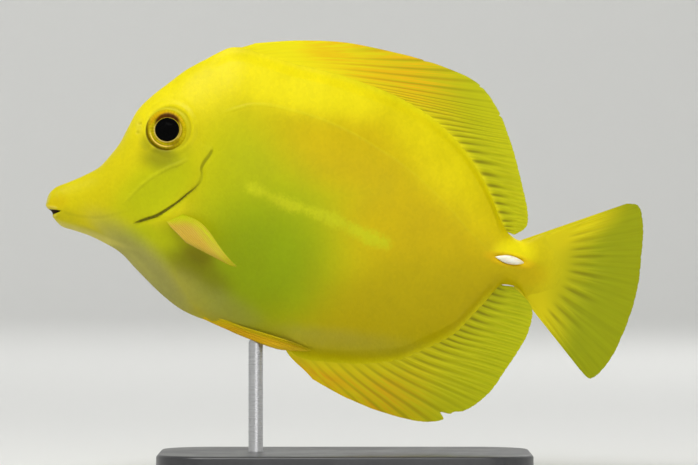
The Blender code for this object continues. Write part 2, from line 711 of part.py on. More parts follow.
def region(left, right):
    """An outline between two lines that both run down; None is far outside."""
    left = left if left is not None else np.array(((-2 * FAR, 3 * FAR), (-2 * FAR, -FAR)))
    right = right if right is not None else np.array(((2 * FAR, 3 * FAR), (2 * FAR, -FAR)))
    return np.concatenate((left, right[::-1]))


def piece(body, name, outline, parts, cutters):
    """The part of the body inside an outline seen from the side."""
    thing = copy_of(body, name, parts)
    block = side_prism("block_" + name, outline, -FAR, FAR, cutters)
    carve(thing, block, "INTERSECT")
    return thing


def gill_block(name, side, extra, collection):
    """The block that is a gill cover, or the hollow for it when extra is more."""
    round_it = np.linspace(0.0, 1.0, GILL_STEPS + 1)[:-1]
    outline = smooth_line(GILL_COVER + GILL_COVER[:1], round_it)
    closed = np.concatenate((outline[-2:], outline, outline[:2]))
    outline = shifted(closed, extra)[2:-2]
    below = GILL_PLATE_TOP - outline[:, 1]
    inner = GILL_INNER_TOP - extra - GILL_INNER_SLOPE * below
    return side_prism(name, outline, side * inner, side * FAR, collection)


def main():
    """Make every part of the fish and its stand."""
    clear_scene()
    parts = add_collection("yellow_tang")
    cutters = add_collection("cutters")
    fine = np.linspace(0.0, 1.0, CUT_STEPS)
    neck = smooth_line(NECK_CUT, fine)
    stem = smooth_line(STEM_CUT, fine)
    arc = smooth_line(TAIL_ARC, fine)

    # Body parted by thin cuts
    body = body_loft("whole_body", cutters)
    head = piece(body, "head", region(None, shifted(neck, -0.5 * GAP)), parts, cutters)
    trunk = piece(
        body, "trunk",
        region(shifted(neck, 0.5 * GAP), shifted(stem, -0.5 * GAP)), parts, cutters,
    )
    tail_stem = piece(
        body, "tail_stem", region(shifted(stem, 0.5 * GAP), arc), parts, cutters,
    )

    # Jaws and the open mouth between them
    coarse = np.linspace(0.0, 1.0, JAW_CUT_STEPS)
    upper_cut = smooth_line(UPPER_LIP_CUT, coarse)
    lower_cut = smooth_line(LOWER_JAW_CUT, coarse)
    corner = np.array((MOUTH_CORNER,))
    corner_low = corner - np.array(((0.0, GAP),))
    upper_outline = np.concatenate((
        upper_cut[:1] - np.array(((FAR, 0.0),)), upper_cut[:-1], corner,
        np.array((MOUTH_UPPER,)), np.array(((-2 * FAR, MOUTH_UPPER[1]),)),
    ))
    lower_outline = np.concatenate((
        np.array((MOUTH_LOWER,)), corner_low, lower_cut[1:],
        lower_cut[-1:] - np.array(((FAR, 0.0),)), np.array(((-2 * FAR, MOUTH_LOWER[1]),)),
    ))
    piece(body, "upper_jaw", upper_outline, parts, cutters)
    piece(body, "lower_jaw", lower_outline, parts, cutters)
    front = np.concatenate((
        upper_cut[:1] - np.array(((FAR, 0.0),)),
        shifted(np.concatenate((upper_cut, lower_cut[1:])), GAP),
        lower_cut[-1:] - np.array(((FAR, 0.0),)),
    ))
    carve(head, side_prism("block_jaws", front, -FAR, FAR, cutters))

    # Gill covers
    for label, side in (("left", -1.0), ("right", 1.0)):
        cover = copy_of(body, "gill_cover_" + label, parts)
        block = gill_block("gill_block_" + label, side, 0.0, cutters)
        carve(cover, block, "INTERSECT")
        hollow = gill_block("gill_hollow_" + label, side, GAP, cutters)
        carve(head, hollow)
        carve(trunk, hollow)

    # Eyes, their sockets and the nostrils
    for label, side in (("left", -1.0), ("right", 1.0)):
        x, z = EYE_CENTRE
        inset = half_width_at(x, z) - EYE_INSET
        centre = (x, side * inset, z)
        ellipsoid("eye_" + label, centre, EYE_RADII, parts)
        socket_radii = [radius + GAP for radius in EYE_RADII]
        carve(head, ellipsoid("socket_" + label, centre, socket_radii, cutters))
        for number, (x, z) in enumerate(NOSTRILS):
            skin = half_width_at(x, z)
            pit = ellipsoid(
                "nostril_%s_%d" % (label, number), (x, side * skin, z),
                (NOSTRIL_RADII[0], NOSTRIL_DEPTH, NOSTRIL_RADII[1]), cutters, 10, 6,
            )
            carve(head, pit)

    # Tail spines in their grooves
    for label, side in (("left", -1.0), ("right", 1.0)):
        spine_blade("tail_spine_" + label, side, 0.0, parts)
        carve(tail_stem, spine_blade("groove_" + label, side, GAP, cutters))

    # Fins
    upright_fin(
        "dorsal_fin", DORSAL_ROOT, DORSAL_EDGE, back_at, 1.0,
        DORSAL_SPINES + DORSAL_RAYS, DORSAL_BOW, DORSAL_WAVE, parts,
    )
    upright_fin(
        "anal_fin", ANAL_ROOT, ANAL_EDGE, belly_at, -1.0,
        ANAL_SPINES + ANAL_RAYS, ANAL_BOW, ANAL_WAVE, parts,
    )
    tail_fin(parts)
    for label, side in (("left", -1.0), ("right", 1.0)):
        paired_fin(
            "pectoral_fin_" + label, side, PECTORAL_ROOT, PECTORAL_EDGE,
            PECTORAL_RAYS, PECTORAL_BOW, False, parts,
        )
        paired_fin(
            "pelvic_fin_" + label, side, PELVIC_ROOT, PELVIC_EDGE,
            PELVIC_RAYS, PELVIC_BOW, True, parts,
        )

    # Stand
    stand_base(parts, cutters)
    rod_top = float(belly_at(ROD_X)) + ROD_IN_BELLY
    cylinder(
        "stand_rod", (ROD_X, 0.0), ROD_RADIUS,
        BASE_HEIGHT - ROD_IN_BASE + GAP, rod_top, parts,
    )
    hole = cylinder(
        "hole_in_belly", (ROD_X, 0.0), ROD_RADIUS + GAP, 0.0, rod_top + GAP, cutters,
    )
    carve(trunk, hole)

    finish_parts(parts, cutters)


def finish_parts(parts, cutters):
    """Give each part its material and hide the cutters."""
    for thing in parts.objects:
        keep_largest(thing)
        colour, roughness, metallic = LOOKS[thing.name]
        material = bpy.data.materials.new(thing.name + "_surface")
        material.use_nodes = True
        shader = material.node_tree.nodes["Principled BSDF"]
        shader.inputs["Base Color"].default_value = (*colour, 1.0)
        shader.inputs["Roughness"].default_value = roughness
        shader.inputs["Metallic"].default_value = metallic
        material.diffuse_color = (*colour, 1.0)
        thing.data.materials.clear()
        thing.data.materials.append(material)
    for thing in cutters.objects:
        thing.hide_render = True
        thing.display_type = "WIRE"


main()
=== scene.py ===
"""Yellow tang on a display stand: the finish of every surface.

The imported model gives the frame. Each operator below makes one piece or a
group of like pieces over it: one skin for all the flesh, the fins with their
branching rays, the eyes, the tail spines, the stand and the stage.
"""

import math

import bmesh
import bpy
import numpy as np
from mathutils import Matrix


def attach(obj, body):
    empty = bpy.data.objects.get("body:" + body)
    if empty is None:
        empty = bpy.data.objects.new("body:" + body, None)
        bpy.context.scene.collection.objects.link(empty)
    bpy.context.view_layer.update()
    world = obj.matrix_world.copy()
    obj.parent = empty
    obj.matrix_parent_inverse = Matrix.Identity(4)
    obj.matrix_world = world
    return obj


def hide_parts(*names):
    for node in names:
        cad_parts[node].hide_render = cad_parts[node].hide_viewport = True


bl_info = {
    "name": "Yellow Tang Finish",
    "version": (1, 0, 0),
    "blender": (4, 5, 0),
    "location": "View3D > Sidebar > Tang",
    "description": "Makes the skin, fins, eyes, stand and stage of a yellow tang model",
    "category": "Object",
}

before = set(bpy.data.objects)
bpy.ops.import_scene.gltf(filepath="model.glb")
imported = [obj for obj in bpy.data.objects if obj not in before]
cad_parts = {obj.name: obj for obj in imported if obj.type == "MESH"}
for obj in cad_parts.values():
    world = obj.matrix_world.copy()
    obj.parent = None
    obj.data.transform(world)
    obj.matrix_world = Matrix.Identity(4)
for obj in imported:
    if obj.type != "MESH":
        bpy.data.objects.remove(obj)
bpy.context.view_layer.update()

MM = 0.001
ACROSS = (0.0, 1.0, 0.0)        # from side to side
LINE_POINTS = 72                # that a line is measured by
SIDES = (
    ("left", -1.0), ("right", 1.0),
)

# Sizes
# All (x, z) points are in millimetres of the model's frame, seen from the side.

# Back, belly, half width and widest level of the body along x
BACK = (
    (-80.1, 72.3), (-79.9, 73.3), (-79.5, 74.6), (-78.7, 75.8), (-77.3, 76.9), (-73.8, 78.3),
    (-69.7, 80.1), (-66.0, 82.1), (-62.5, 85.8), (-60.3, 88.7), (-58.2, 92.7), (-55.6, 97.4),
    (-52.3, 100.8), (-47.6, 104.5), (-41.0, 109.2), (-34.8, 111.7), (-28.7, 111.8), (-22.2, 110.3),
    (-13.4, 107.6), (-4.0, 105.3), (4.6, 102.5), (13.7, 98.9), (21.4, 94.6), (27.1, 90.0),
    (31.6, 85.2), (35.9, 78.9), (39.1, 72.6), (41.5, 67.5), (44.0, 64.3), (47.2, 62.6),
    (50.9, 63.4), (54.4, 64.5), (58.2, 65.8), (64.3, 67.8),
)
BELLY = (
    (-80.1, 71.9), (-79.9, 71.5), (-79.6, 71.2), (-79.2, 70.9), (-78.7, 70.3), (-78.3, 69.4),
    (-77.9, 68.5), (-77.2, 67.5), (-75.6, 66.2), (-72.7, 65.3), (-68.6, 63.9), (-64.6, 62.0),
    (-60.3, 59.4), (-55.5, 54.4), (-48.2, 47.3), (-43.4, 43.8), (-38.1, 41.5), (-30.0, 39.3),
    (-22.2, 36.9), (-14.7, 34.2), (-6.7, 32.4), (4.0, 31.6), (13.4, 32.4), (21.4, 35.5),
    (29.5, 39.9), (35.1, 45.8), (38.9, 49.3), (42.6, 50.8), (45.3, 50.3), (47.4, 48.7),
    (49.8, 46.0), (54.4, 40.3), (58.2, 35.6), (64.3, 28.1),
)
HALF_WIDTH = (
    (-80.1, 0.9), (-79.1, 1.95), (-77.5, 2.6), (-74.8, 3.2), (-70.5, 3.9), (-65.7, 4.8),
    (-60.3, 6.0), (-54.4, 7.5), (-47.4, 8.9), (-38.9, 10.2), (-28.1, 10.9), (-14.7, 10.8),
    (-1.3, 10.1), (12.1, 8.9), (22.8, 7.4), (31.4, 6.0), (38.3, 4.7), (43.7, 3.9), (46.9, 3.11),
    (50.1, 2.16), (53.3, 1.28), (56.5, 0.664), (59.2, 0.39), (61.4, 0.265), (64.3, 0.19),
)
WIDEST = (
    (-80.1, 72.1), (-75.8, 71.6), (-68.3, 73.4), (-57.6, 77.5), (-48.2, 80.9), (-33.5, 80.1),
    (-12.1, 76.1), (14.7, 70.2), (33.5, 62.7), (45.6, 57.1), (53.6, 55.7), (64.3, 50.7),
)
SHARPNESS = (
    (-80.1, 0.5), (-71.0, 0.52), (-57.6, 0.6), (-44.2, 0.7), (-28.1, 0.78), (14.7, 0.78),
    (36.2, 0.66), (47.4, 0.56), (64.3, 0.6),
)
# Where the skin's rings stand: (x, number of rings up to the next)
RING_PLAN = (
    (-80.1, 36), (-75.8, 164), (-34.8, 64), (36.2, 56), (64.3, 0),
)
RING_STEPS = 146                # steps from the back to the belly on one side
SHEATH = 2.6                    # how far skin climbs the roots of the upright fins

# Lines of the head and flank
GILL_EDGE = (
    (-35.0, 87.1), (-35.9, 85.4), (-37.3, 83.5), (-38.2, 81.5), (-37.9, 80.0), (-38.6, 78.1),
    (-39.9, 76.5), (-42.2, 74.7), (-44.3, 72.9), (-46.9, 71.1), (-49.9, 69.3), (-53.8, 68.0),
    (-57.0, 66.9),
)
CHEEK_RIDGE = (
    (-41.5, 84.7), (-43.5, 83.3), (-47.6, 81.7), (-52.0, 79.1), (-55.4, 76.3), (-59.8, 71.8),
)
JAW_CREASE = (
    (-75.8, 70.5), (-72.9, 69.5), (-69.4, 68.9), (-65.3, 68.8), (-60.3, 69.8), (-55.0, 71.2),
)
LIP_GROOVE = (
    (-77.7, 77.2), (-76.5, 74.5), (-75.6, 72.4), (-75.2, 70.5), (-75.0, 68.3), (-74.8, 66.2),
)
LATERAL_LINE = (
    (-33.8, 96.1), (-25.9, 98.5), (-19.7, 98.5), (-14.2, 97.3), (-8.8, 95.8), (-0.3, 92.5),
    (8.3, 87.6), (17.4, 81.5), (26.8, 72.6), (34.8, 63.5), (41.0, 58.7),
)
SHOULDER_LINE = (
    (-33.2, 97.0), (-32.8, 90.9), (-33.2, 82.8), (-34.6, 76.1),
)
PALE_BAND = (
    (-25.5, 76.9), (-22.2, 75.6), (-17.7, 73.2), (-12.1, 71.3), (-6.2, 69.4), (0.0, 66.7),
    (5.6, 63.8), (10.5, 61.9),
)
MOUTH_CORNER = (-76.0, 70.5)
MOUTH_FRONT_X = -80.1
MOUTH_HALF_OPENING = 1.30

# Eye and nostrils
EYE_CENTRE = (-47.3, 92.1)
EYE_BALL = (6.3, 3.6, 6.1)
EYE_INSET = 2.15                # how deep the ball's centre lies in the head's side
EYE_DISH = 0.30                 # how far the pupil is sunken
EYE_HOLE = (-47.6, 91.9)
EYE_OPENING = (5.3, 5.2)
ORBIT = (-46.8, 92.4)
ORBIT_SIZE = (6.6, 6.6)
WRINKLES = (-46.9, 85.0)
WRINKLES_SIZE = (5.5, 2.0)
WRINKLES_TILT = 14.0
NOSTRILS = (
    (-54.8, 93.8), (-55.3, 91.4),
)
NOSTRIL_SIZE = (0.55, 0.4)

# Tail spine
SPINE_CENTRE = (44.0, 57.4)
SPINE_SIZE = (7.8, 1.7, 2.3)
SPINE_TILT = 12.0
SPINE_OUT = 0.15                # its middle stands off the skin

# Fins: matching points on root and edge
DORSAL_ROOT = (
    (-36.7, 111.0), (-29.7, 111.8), (-21.7, 110.1), (-12.1, 107.3), (-1.3, 104.5), (9.4, 100.7),
    (20.1, 95.4), (25.5, 91.5), (30.8, 86.2), (36.2, 78.5), (39.1, 72.6), (41.8, 67.4),
    (43.3, 65.2),
)
DORSAL_EDGE = (
    (-23.9, 115.5), (-12.1, 116.2), (0.5, 115.6), (14.7, 112.7), (25.6, 109.5), (35.6, 104.8),
    (41.1, 97.6), (43.7, 91.2), (45.6, 85.3), (47.7, 76.8), (49.0, 70.5), (48.7, 66.3),
    (45.6, 64.1),
)
ANAL_ROOT = (
    (-17.2, 34.9), (-9.9, 33.0), (-1.9, 31.8), (5.9, 31.6), (13.4, 32.4), (20.4, 35.0),
    (25.5, 37.7), (30.0, 40.4), (34.0, 44.6), (37.3, 48.0), (41.5, 50.4),
)
ANAL_EDGE = (
    (-8.6, 25.3), (0.3, 20.4), (11.3, 16.1), (22.8, 13.9), (32.2, 16.9), (38.7, 21.7),
    (43.1, 27.9), (46.5, 33.0), (49.2, 38.1), (50.1, 44.6), (45.3, 50.2),
)
TAIL_ROOT = (
    (46.1, 62.3), (48.0, 60.6), (49.0, 58.7), (49.3, 56.5), (48.6, 54.4), (46.6, 52.4),
    (44.5, 51.2),
)
TAIL_EDGE = (
    (75.6, 72.5), (78.9, 71.6), (80.0, 65.7), (79.5, 58.2), (78.7, 50.7), (76.3, 41.8),
    (71.7, 31.4), (66.4, 25.6), (63.2, 27.7),
)
PECTORAL_ROOT = (
    (-46.0, 69.8), (-48.4, 68.9),
)
PECTORAL_EDGE = (
    (-28.3, 22.0, 55.7), (-30.0, 23.2, 56.0), (-33.4, 22.6, 57.7), (-37.4, 20.0, 59.7),
    (-42.0, 16.5, 62.0),
)
PELVIC_ROOT = (
    (-36.9, 43.6), (-37.9, 41.8),
)
PELVIC_EDGE = (
    (-13.1, 3.7, 35.0), (-9.1, 3.4, 33.1), (-12.3, 3.15, 33.0), (-17.4, 3.0, 33.4),
    (-22.2, 2.85, 34.9),
)

# Stand
ROD_X = -23.9
ROD_RADIUS = 2.0
ROD_IN_BELLY = 7.0
BASE_SIZE = (100.0, 56.0, 6.0)
BASE_CORNER = 14.0
BASE_EDGES = (0.5, 1.0)         # rounding of its lower and its upper edge

# Camera
PICTURE_WIDTH = 698             # in pixels
MM_PER_PIXEL = 0.268            # of the middle plane
CAMERA_X = 1.1
CAMERA_Z = 64.7

# Backdrop and lights, in metres
FLOOR_RADIUS = 2.2
WALL_CURVE = 0.9
WALL_HEIGHT = 3.8
# Lamps: size, place and aim
LAMPS = {
    "key": (0.7, (-0.25, -0.45, 0.95), (0.0, 0.0, 0.06)),
    "fill": (0.6, (0.15, -0.9, 0.20), (0.0, 0.0, 0.05)),
    "back": (0.9, (0.45, 1.0, 0.95), (0.0, 0.0, 0.06)),
}
WALL_LIGHTS = 4
WALL_LIGHT_SIZE = 1.2
WALL_LIGHT_LINE = ((1.2, 1.7), (3.0, 0.8))  # radius and height of its place and its aim

# Relief of the skin, in millimetres
# Lines: points, where they fade in and out along themselves, height, half width, and the
# share that they lose toward their end
SKIN_LINES = {
    "cheek": (CHEEK_RIDGE, (0.0, 0.2, 0.85, 1.0), 0.08, 0.8, 0.0),
    "jaw": (JAW_CREASE, (0.0, 0.12, 0.6, 1.0), -0.06, 1.1, 0.0),
    "lateral": (LATERAL_LINE, (0.0, 0.08, 0.9, 1.0), 0.035, 0.7, 0.5),
}
LIP_LINE = (LIP_GROOVE, (0.05, 0.2, 0.85, 1.0), -0.07, 0.6, 0.0)
SHOULDER_RISE = (0.06, 0.8)     # height and half width
GILL_LIP = (0.26, 3.2)          # height and width of the gill cover's free edge
GILL_STEP = (-0.26, 0.7)        # the fall behind it
GILL_SLIT = (-0.16, 0.3)
FAR = 3.0                       # masks round an ellipse end at this many of its radii
# Rims: how many times the ellipse's radii, width and height
ORBIT_RIMS = (
    (1.0, 0.10, 0.20), (1.18, 0.10, -0.07),
)
ORBIT_FOLD = (0.86, 0.08, -0.05, 0.03)  # its height is less low in front, by the last number
LID_RIM = (1.07, 0.07, 0.07)
EYE_WALL = 3.4                  # depth of the wall that closes the eye's opening
FOLD_HEIGHT = 0.035
NOSTRIL_RIM = (1.7, 0.4, 0.07)
NOSTRIL_DEPTH = 0.40
SPINE_RIM = (1.55, 0.3, 0.10)
SPINE_GROOVE = 0.75
FIN_SHOULDER = (-46.4, 68.9)    # muscle at the pectoral fin's root
FIN_SHOULDER_SIZE = (4.4, 3.0)
FIN_SHOULDER_TILT = 26.0
FIN_SHOULDER_RISE = 1.2
MOUTH_RISE = -0.55              # mouth line at the lips' front, above its corner
MOUTH_DEPTH = (0.04, 0.5)       # how far its wall lies back and in, as shares
LIP_SWELL = 0.22

# How the skin climbs the fins' roots and thins out over the tail fin
SHEATH_STARTS = (7.0, 6.0)      # it is full this far behind the dorsal and the anal fin's front
KEEL_START = (-14.7, 9.4)
KEEL_DEPTH = 2.2
PINCH = 0.62                    # share of its width that the skin loses over the fins' roots
PINCH_DEPTH = (0.2, 4.2)
FAN_HUB = (37.8, 59.5)
FAN_ANGLES = (-19.0, 51.0)      # of the tail fin's top and bottom rays, downwards
FAN_SKIN = (-17.2, 49.5)        # of the skin's edges over it
FAN_TURN = (44.8, 54.9)         # the skin's rings turn into arcs between these x
FAN_FLESH = (3.75, 4.0, 10.5)   # thickness of its base, where it is full, how fast it fades
FAN_SKIN_END = (21.0, 24.5)     # the skin gives way to the fin, from the hub
FAN_RAYS = (21.0, 27.0)         # where its rays begin
FAN_OUTER = (26.5, 36.0)        # where its rays grow faint
FAN_EDGES = ((0.0, 13.0, 0.17), (1.0, 7.0, 0.16))   # its yellow reaches further here

# Fins. Columns and rows are the steps across a ray and along it. The thickness is half of
# that at the root, the relief how far the rays stand out, the notch how far the edge falls
# back between them. A lean is how far the rays lean back and how fast that fades; a bow is
# that of the first and the last ray; a nick is its place on the edge, its width and depth.
# The warm streaks begin, are full, begin to end and end at the four x of streaks, and the
# painted shade in the gaps begins at a share across the fin and a share along the ray.
BOW_PEAK = 0.62                 # power of the share, so a bow is greatest before half way
EDGE_THICKNESS = 0.06           # half of that at the free edge
FINS = {
    "dorsal": {
        "root": DORSAL_ROOT, "edge": DORSAL_EDGE, "spines": 5, "rays": 29,
        "columns": 16, "rows": 44, "thickness": 0.28, "relief": 0.15, "notch": 0.12,
        "lean": (0.9, 3.5), "bows": ((-0.3, 0.0, 0.7), (-0.15, 0.0, 0.3)),
        "nicks": ((0.306, 0.005, 0.9), (0.43, 0.004, 0.6), (0.52, 0.004, 0.5)),
        "joints": 30.0, "sway": 0.5, "streaks": (-16.1, -2.7, 16.1, 36.2), "rear": 44.0,
        "gaps": (0.42, 0.13),
    },
    "anal": {
        "root": ANAL_ROOT, "edge": ANAL_EDGE, "spines": 3, "rays": 24,
        "columns": 18, "rows": 46, "thickness": 0.28, "relief": 0.15, "notch": 0.12,
        "lean": (0.2, 1.0), "bows": ((-0.5, 0.0, -0.7), (-0.25, 0.0, -0.3)),
        "nicks": ((0.352, 0.009, 2.6), (0.375, 0.014, 1.2)),
        "joints": 30.0, "sway": 0.4, "streaks": (-20.1, -12.1, 6.7, 28.1), "rear": 58.0,
        "gaps": (0.30, 0.05),
    },
    "tail": {
        "root": TAIL_ROOT, "edge": TAIL_EDGE, "spines": 0, "rays": 16,
        "columns": 26, "rows": 56, "relief": 0.16, "notch": 0.12,
        "lean": (0.0, 1.0), "bows": ((0.0, 0.0, 0.0), (0.0, 0.0, 0.0)), "nicks": (),
        "joints": 34.0,
    },
    "pectoral": {
        "root": PECTORAL_ROOT, "edge": PECTORAL_EDGE, "spines": 1, "rays": 15,
        "columns": 14, "rows": 36, "thickness": 0.7, "relief": 0.14, "notch": 0.18,
        "lean": (0.0, 1.0), "bows": ((2.1, 0.9, 2.0), (-0.2, 0.4, -0.2)), "nicks": (),
        "joints": 22.0,
    },
    "pelvic": {
        "root": PELVIC_ROOT, "edge": PELVIC_EDGE, "spines": 1, "rays": 6,
        "columns": 14, "rows": 36, "thickness": 0.4, "relief": 0.14, "notch": 0.18,
        "lean": (0.0, 1.0), "bows": ((0.0, 0.0, -0.7), (0.0, 0.0, -0.35)), "nicks": (),
        "joints": 24.0,
    },
}
UPRIGHT_SINK = 0.6              # how far the roots lie inside the back and the belly
PAIRED_SINK = 1.3               # and inside the flank
TAIL_SWAY = (1.2, 2.6, -0.6)    # how far, and the sine's turn across the fin and its start

# Soft patches of colour on the skin, some of them painted light and shade, each over those
# before it: centre, radii, tilt in degrees, strength
SKIN_PATCHES = {
    "lime": (
        ((-18.8, 77.5), (24.0, 20.0), 10.0, 0.9),
        ((-49.6, 76.1), (16.0, 8.0), 40.0, 0.8),
        # The last two patches lighten the throat, where it faces down, as painted light
        ((-53.3, 63.5), (7.5, 4.5), -20.0, 0.9),
        ((-47.4, 61.1), (7.5, 6.0), -30.0, 0.9),
    ),
    "golden": (
        ((-77.2, 72.6), (3.8, 2.2), 20.0, 0.6),
        ((5.4, 85.5), (28.0, 13.0), -24.0, 0.9),
        ((24.1, 64.1), (27.0, 18.0), -35.0, 1.0),
        ((48.2, 54.1), (6.0, 4.0), -10.0, 0.9),
        ((-34.8, 41.8), (7.0, 1.4), -22.0, 1.0),
    ),
    "olive": (
        ((14.7, 45.3), (32.0, 12.0), 8.0, 0.9),
    ),
    "green": (
        ((-22.2, 56.0), (19.0, 18.0), 20.0, 0.9),
    ),
    # Painted shade under the eye, on the throat below and behind the pectoral fin, and below the
    # mouth's corner
    "dusk": (
        ((-49.0, 84.7), (5.6, 3.4), -6.0, 0.62),
        ((-48.8, 86.2), (4.0, 1.3), -4.0, 0.72),
        ((-52.8, 88.4), (1.9, 2.8), 10.0, 0.6),
        ((-42.1, 86.3), (3.0, 2.0), 40.0, 0.25),
        ((-41.5, 55.5), (8.0, 4.0), -28.0, 0.72),
        ((-36.2, 52.5), (7.0, 4.0), -35.0, 0.6),
        ((-74.8, 68.9), (5.0, 2.4), -12.0, 0.3),
    ),
    "pale": (
        ((-52.5, 54.1), (18.0, 5.2), -45.0, 0.95),
        ((-42.6, 49.3), (11.0, 5.0), -32.0, 0.6),
        ((-64.1, 62.7), (9.0, 1.8), -24.0, 0.6),
        ((-55.1, 93.3), (1.1, 2.6), 10.0, 0.4),
        ((-6.7, 36.4), (30.0, 3.5), -6.0, 0.35),
        ((-34.8, 45.3), (15.0, 5.0), -26.0, 0.55),
    ),
    # Painted light: the forehead and back lighter as if lit from above, and lighter skin by the
    # pectoral fin's root, on the tail stem and along the rear root of the dorsal fin, against the
    # shade there
    "bright": (
        ((-41.5, 104.3), (20.0, 9.0), 35.0, 0.8),
        ((-44.8, 69.9), (4.0, 1.8), 20.0, 0.3),
        ((-18.8, 105.6), (30.0, 7.5), -14.0, 1.0),
        ((25.5, 82.8), (26.0, 8.0), -48.0, 0.55),
        ((45.6, 59.5), (5.4, 3.4), -10.0, 1.0),
        ((42.1, 74.2), (13.0, 2.6), -63.0, 0.6),
    ),
    # The lower jaw's own ivory. The second patch is painted light along the throat's lower edge,
    # against its shade, and the last is a painted rim light on the front of the upper lip
    "ivory": (
        ((-70.5, 64.7), (12.0, 1.2), -18.0, 0.9),
        ((-57.1, 57.9), (14.0, 1.6), -45.0, 0.35),
        ((-79.9, 72.9), (0.5, 2.4), -25.0, 0.8),
    ),
    "shadow": (
        ((-38.9, 58.7), (5.0, 2.6), -28.0, 0.65),
        ((-48.2, 86.6), (3.0, 0.7), -4.0, 0.3),
    ),
}


# Curves

def profile(points):
    """A smooth function through (x, value) points that never overshoots them."""
    xs, values = np.array(points, float).T
    step = np.diff(xs)
    slope = np.diff(values) / step
    tangent = np.concatenate((slope[:1], np.zeros(len(xs) - 2), slope[-1:]))
    same_way = slope[:-1] * slope[1:] > 0
    first = np.where(same_way, slope[:-1], 1.0)
    second = np.where(same_way, slope[1:], 1.0)
    tangent[1:-1] = np.where(same_way, 2.0 * first * second / (first + second), 0.0)

    def value(x):
        x = np.clip(x, xs[0], xs[-1])
        index = np.clip(np.searchsorted(xs, x, side="right") - 1, 0, len(step) - 1)
        width = step[index]
        t = (x - xs[index]) / width
        return (
            (2 * t ** 3 - 3 * t ** 2 + 1) * values[index]
            + (t ** 3 - 2 * t ** 2 + t) * width * tangent[index]
            + (3 * t ** 2 - 2 * t ** 3) * values[index + 1]
            + (t ** 3 - t ** 2) * width * tangent[index + 1]
        )

    return value


def smooth_line(points, where):
    """Points on a smooth curve through the given points, where running from 0 to 1."""
    points = np.array(points, float)
    last = len(points) - 1
    place = np.clip(where, 0.0, 1.0) * last
    index = np.clip(np.floor(place).astype(int), 0, last - 1)
    t = (place - index)[..., None]
    before = points[np.maximum(index - 1, 0)]
    start = points[index]
    end = points[index + 1]
    after = points[np.minimum(index + 2, last)]
    return 0.5 * (
        2 * start
        + (end - before) * t
        + (2 * before - 5 * start + 4 * end - after) * t ** 2
        + (3 * start - before - 3 * end + after) * t ** 3
    )


def smooth_step(value, low, high):
    """0 below low, 1 above high, and a smooth rise between."""
    t = np.clip((value - low) / (high - low), 0.0, 1.0)
    return t * t * (3.0 - 2.0 * t)


def between(value, begins, full, ends, gone):
    """1 from full to ends, fading smoothly to 0 at begins and at gone."""
    return smooth_step(value, begins, full) * (1.0 - smooth_step(value, ends, gone))


def bump(value, centre, width):
    """A bell: 1 at the centre, falling as exp(-(distance / width) squared)."""
    return np.exp(-((value - centre) / width) ** 2)


def distance_to_line(x, z, points):
    """Distance to a line, + toward its left side, and how far along it.

    Each point is measured to the nearest of many short straight pieces of the line.
    """
    line = smooth_line(points, np.linspace(0.0, 1.0, LINE_POINTS))
    run = np.diff(line, axis=0)
    best = np.full(x.shape, np.inf)
    side = np.zeros(x.shape)
    along = np.zeros(x.shape)
    for number, (start, (run_x, run_z)) in enumerate(zip(line, run)):
        away_x = x - start[0]
        away_z = z - start[1]
        share = (away_x * run_x + away_z * run_z) / (run_x ** 2 + run_z ** 2)
        share = np.clip(share, 0.0, 1.0)
        distance = np.hypot(away_x - share * run_x, away_z - share * run_z)
        nearer = distance < best
        best = np.where(nearer, distance, best)
        side = np.where(nearer, np.sign(run_x * away_z - run_z * away_x), side)
        along = np.where(nearer, (number + share) / len(run), along)
    return best * side, along


def ellipse_reach(x, z, centre, radii, tilt=0.0):
    """1 on an ellipse round a centre, less inside it and more outside."""
    turn = math.radians(tilt)
    along = (x - centre[0]) * math.cos(turn) + (z - centre[1]) * math.sin(turn)
    up = (z - centre[1]) * math.cos(turn) - (x - centre[0]) * math.sin(turn)
    return np.hypot(along / radii[0], up / radii[1])


def soft_patch(x, z, centre, radii, tilt):
    """1 inside an ellipse, fading smoothly to 0 outside it."""
    return 1.0 - smooth_step(ellipse_reach(x, z, centre, radii, tilt), 0.25, 1.75)


# The body's surface

back_at = profile(BACK)
belly_at = profile(BELLY)
width_at = profile(HALF_WIDTH)
widest_at = profile(WIDEST)
sharpness_at = profile(SHARPNESS)


def half_width_at(x, z):
    """Half the body's thickness at a point seen from the side, zero outside it."""
    level = widest_at(x)
    reach = np.where(z > level, back_at(x) - level, level - belly_at(x))
    share = np.clip((z - level) / reach, -1.0, 1.0)
    return width_at(x) * (1.0 - share ** 2) ** sharpness_at(x)


def sheaths(x):
    """How far the skin climbs the roots of the dorsal and the anal fin at x."""
    climbs = []
    for root, full in zip((DORSAL_ROOT, ANAL_ROOT), SHEATH_STARTS):
        first = root[0][0]
        last = root[-1][0]
        climbs.append(SHEATH * between(x, first - 1.0, first + full, last - 5.0, last + 1.0))
    return climbs


def fan_place(x, z):
    """Distance from the tail fin's hub and the share of the way from its top ray down."""
    run = x - FAN_HUB[0]
    fall = FAN_HUB[1] - z
    angle = np.degrees(np.arctan2(fall, run))
    share = (angle - FAN_ANGLES[0]) / (FAN_ANGLES[1] - FAN_ANGLES[0])
    return np.where(run > 0, np.hypot(run, fall), 0.0), share


def fan_shade(x, z):
    """0 on the fleshy yellow base of the tail fin, 1 on its greener outer part."""
    reach, share = fan_place(x, z)
    for place, further, width in FAN_EDGES:
        reach = reach - further * bump(share, place, width)
    return smooth_step(reach, 16.0, 30.0)


# Meshes

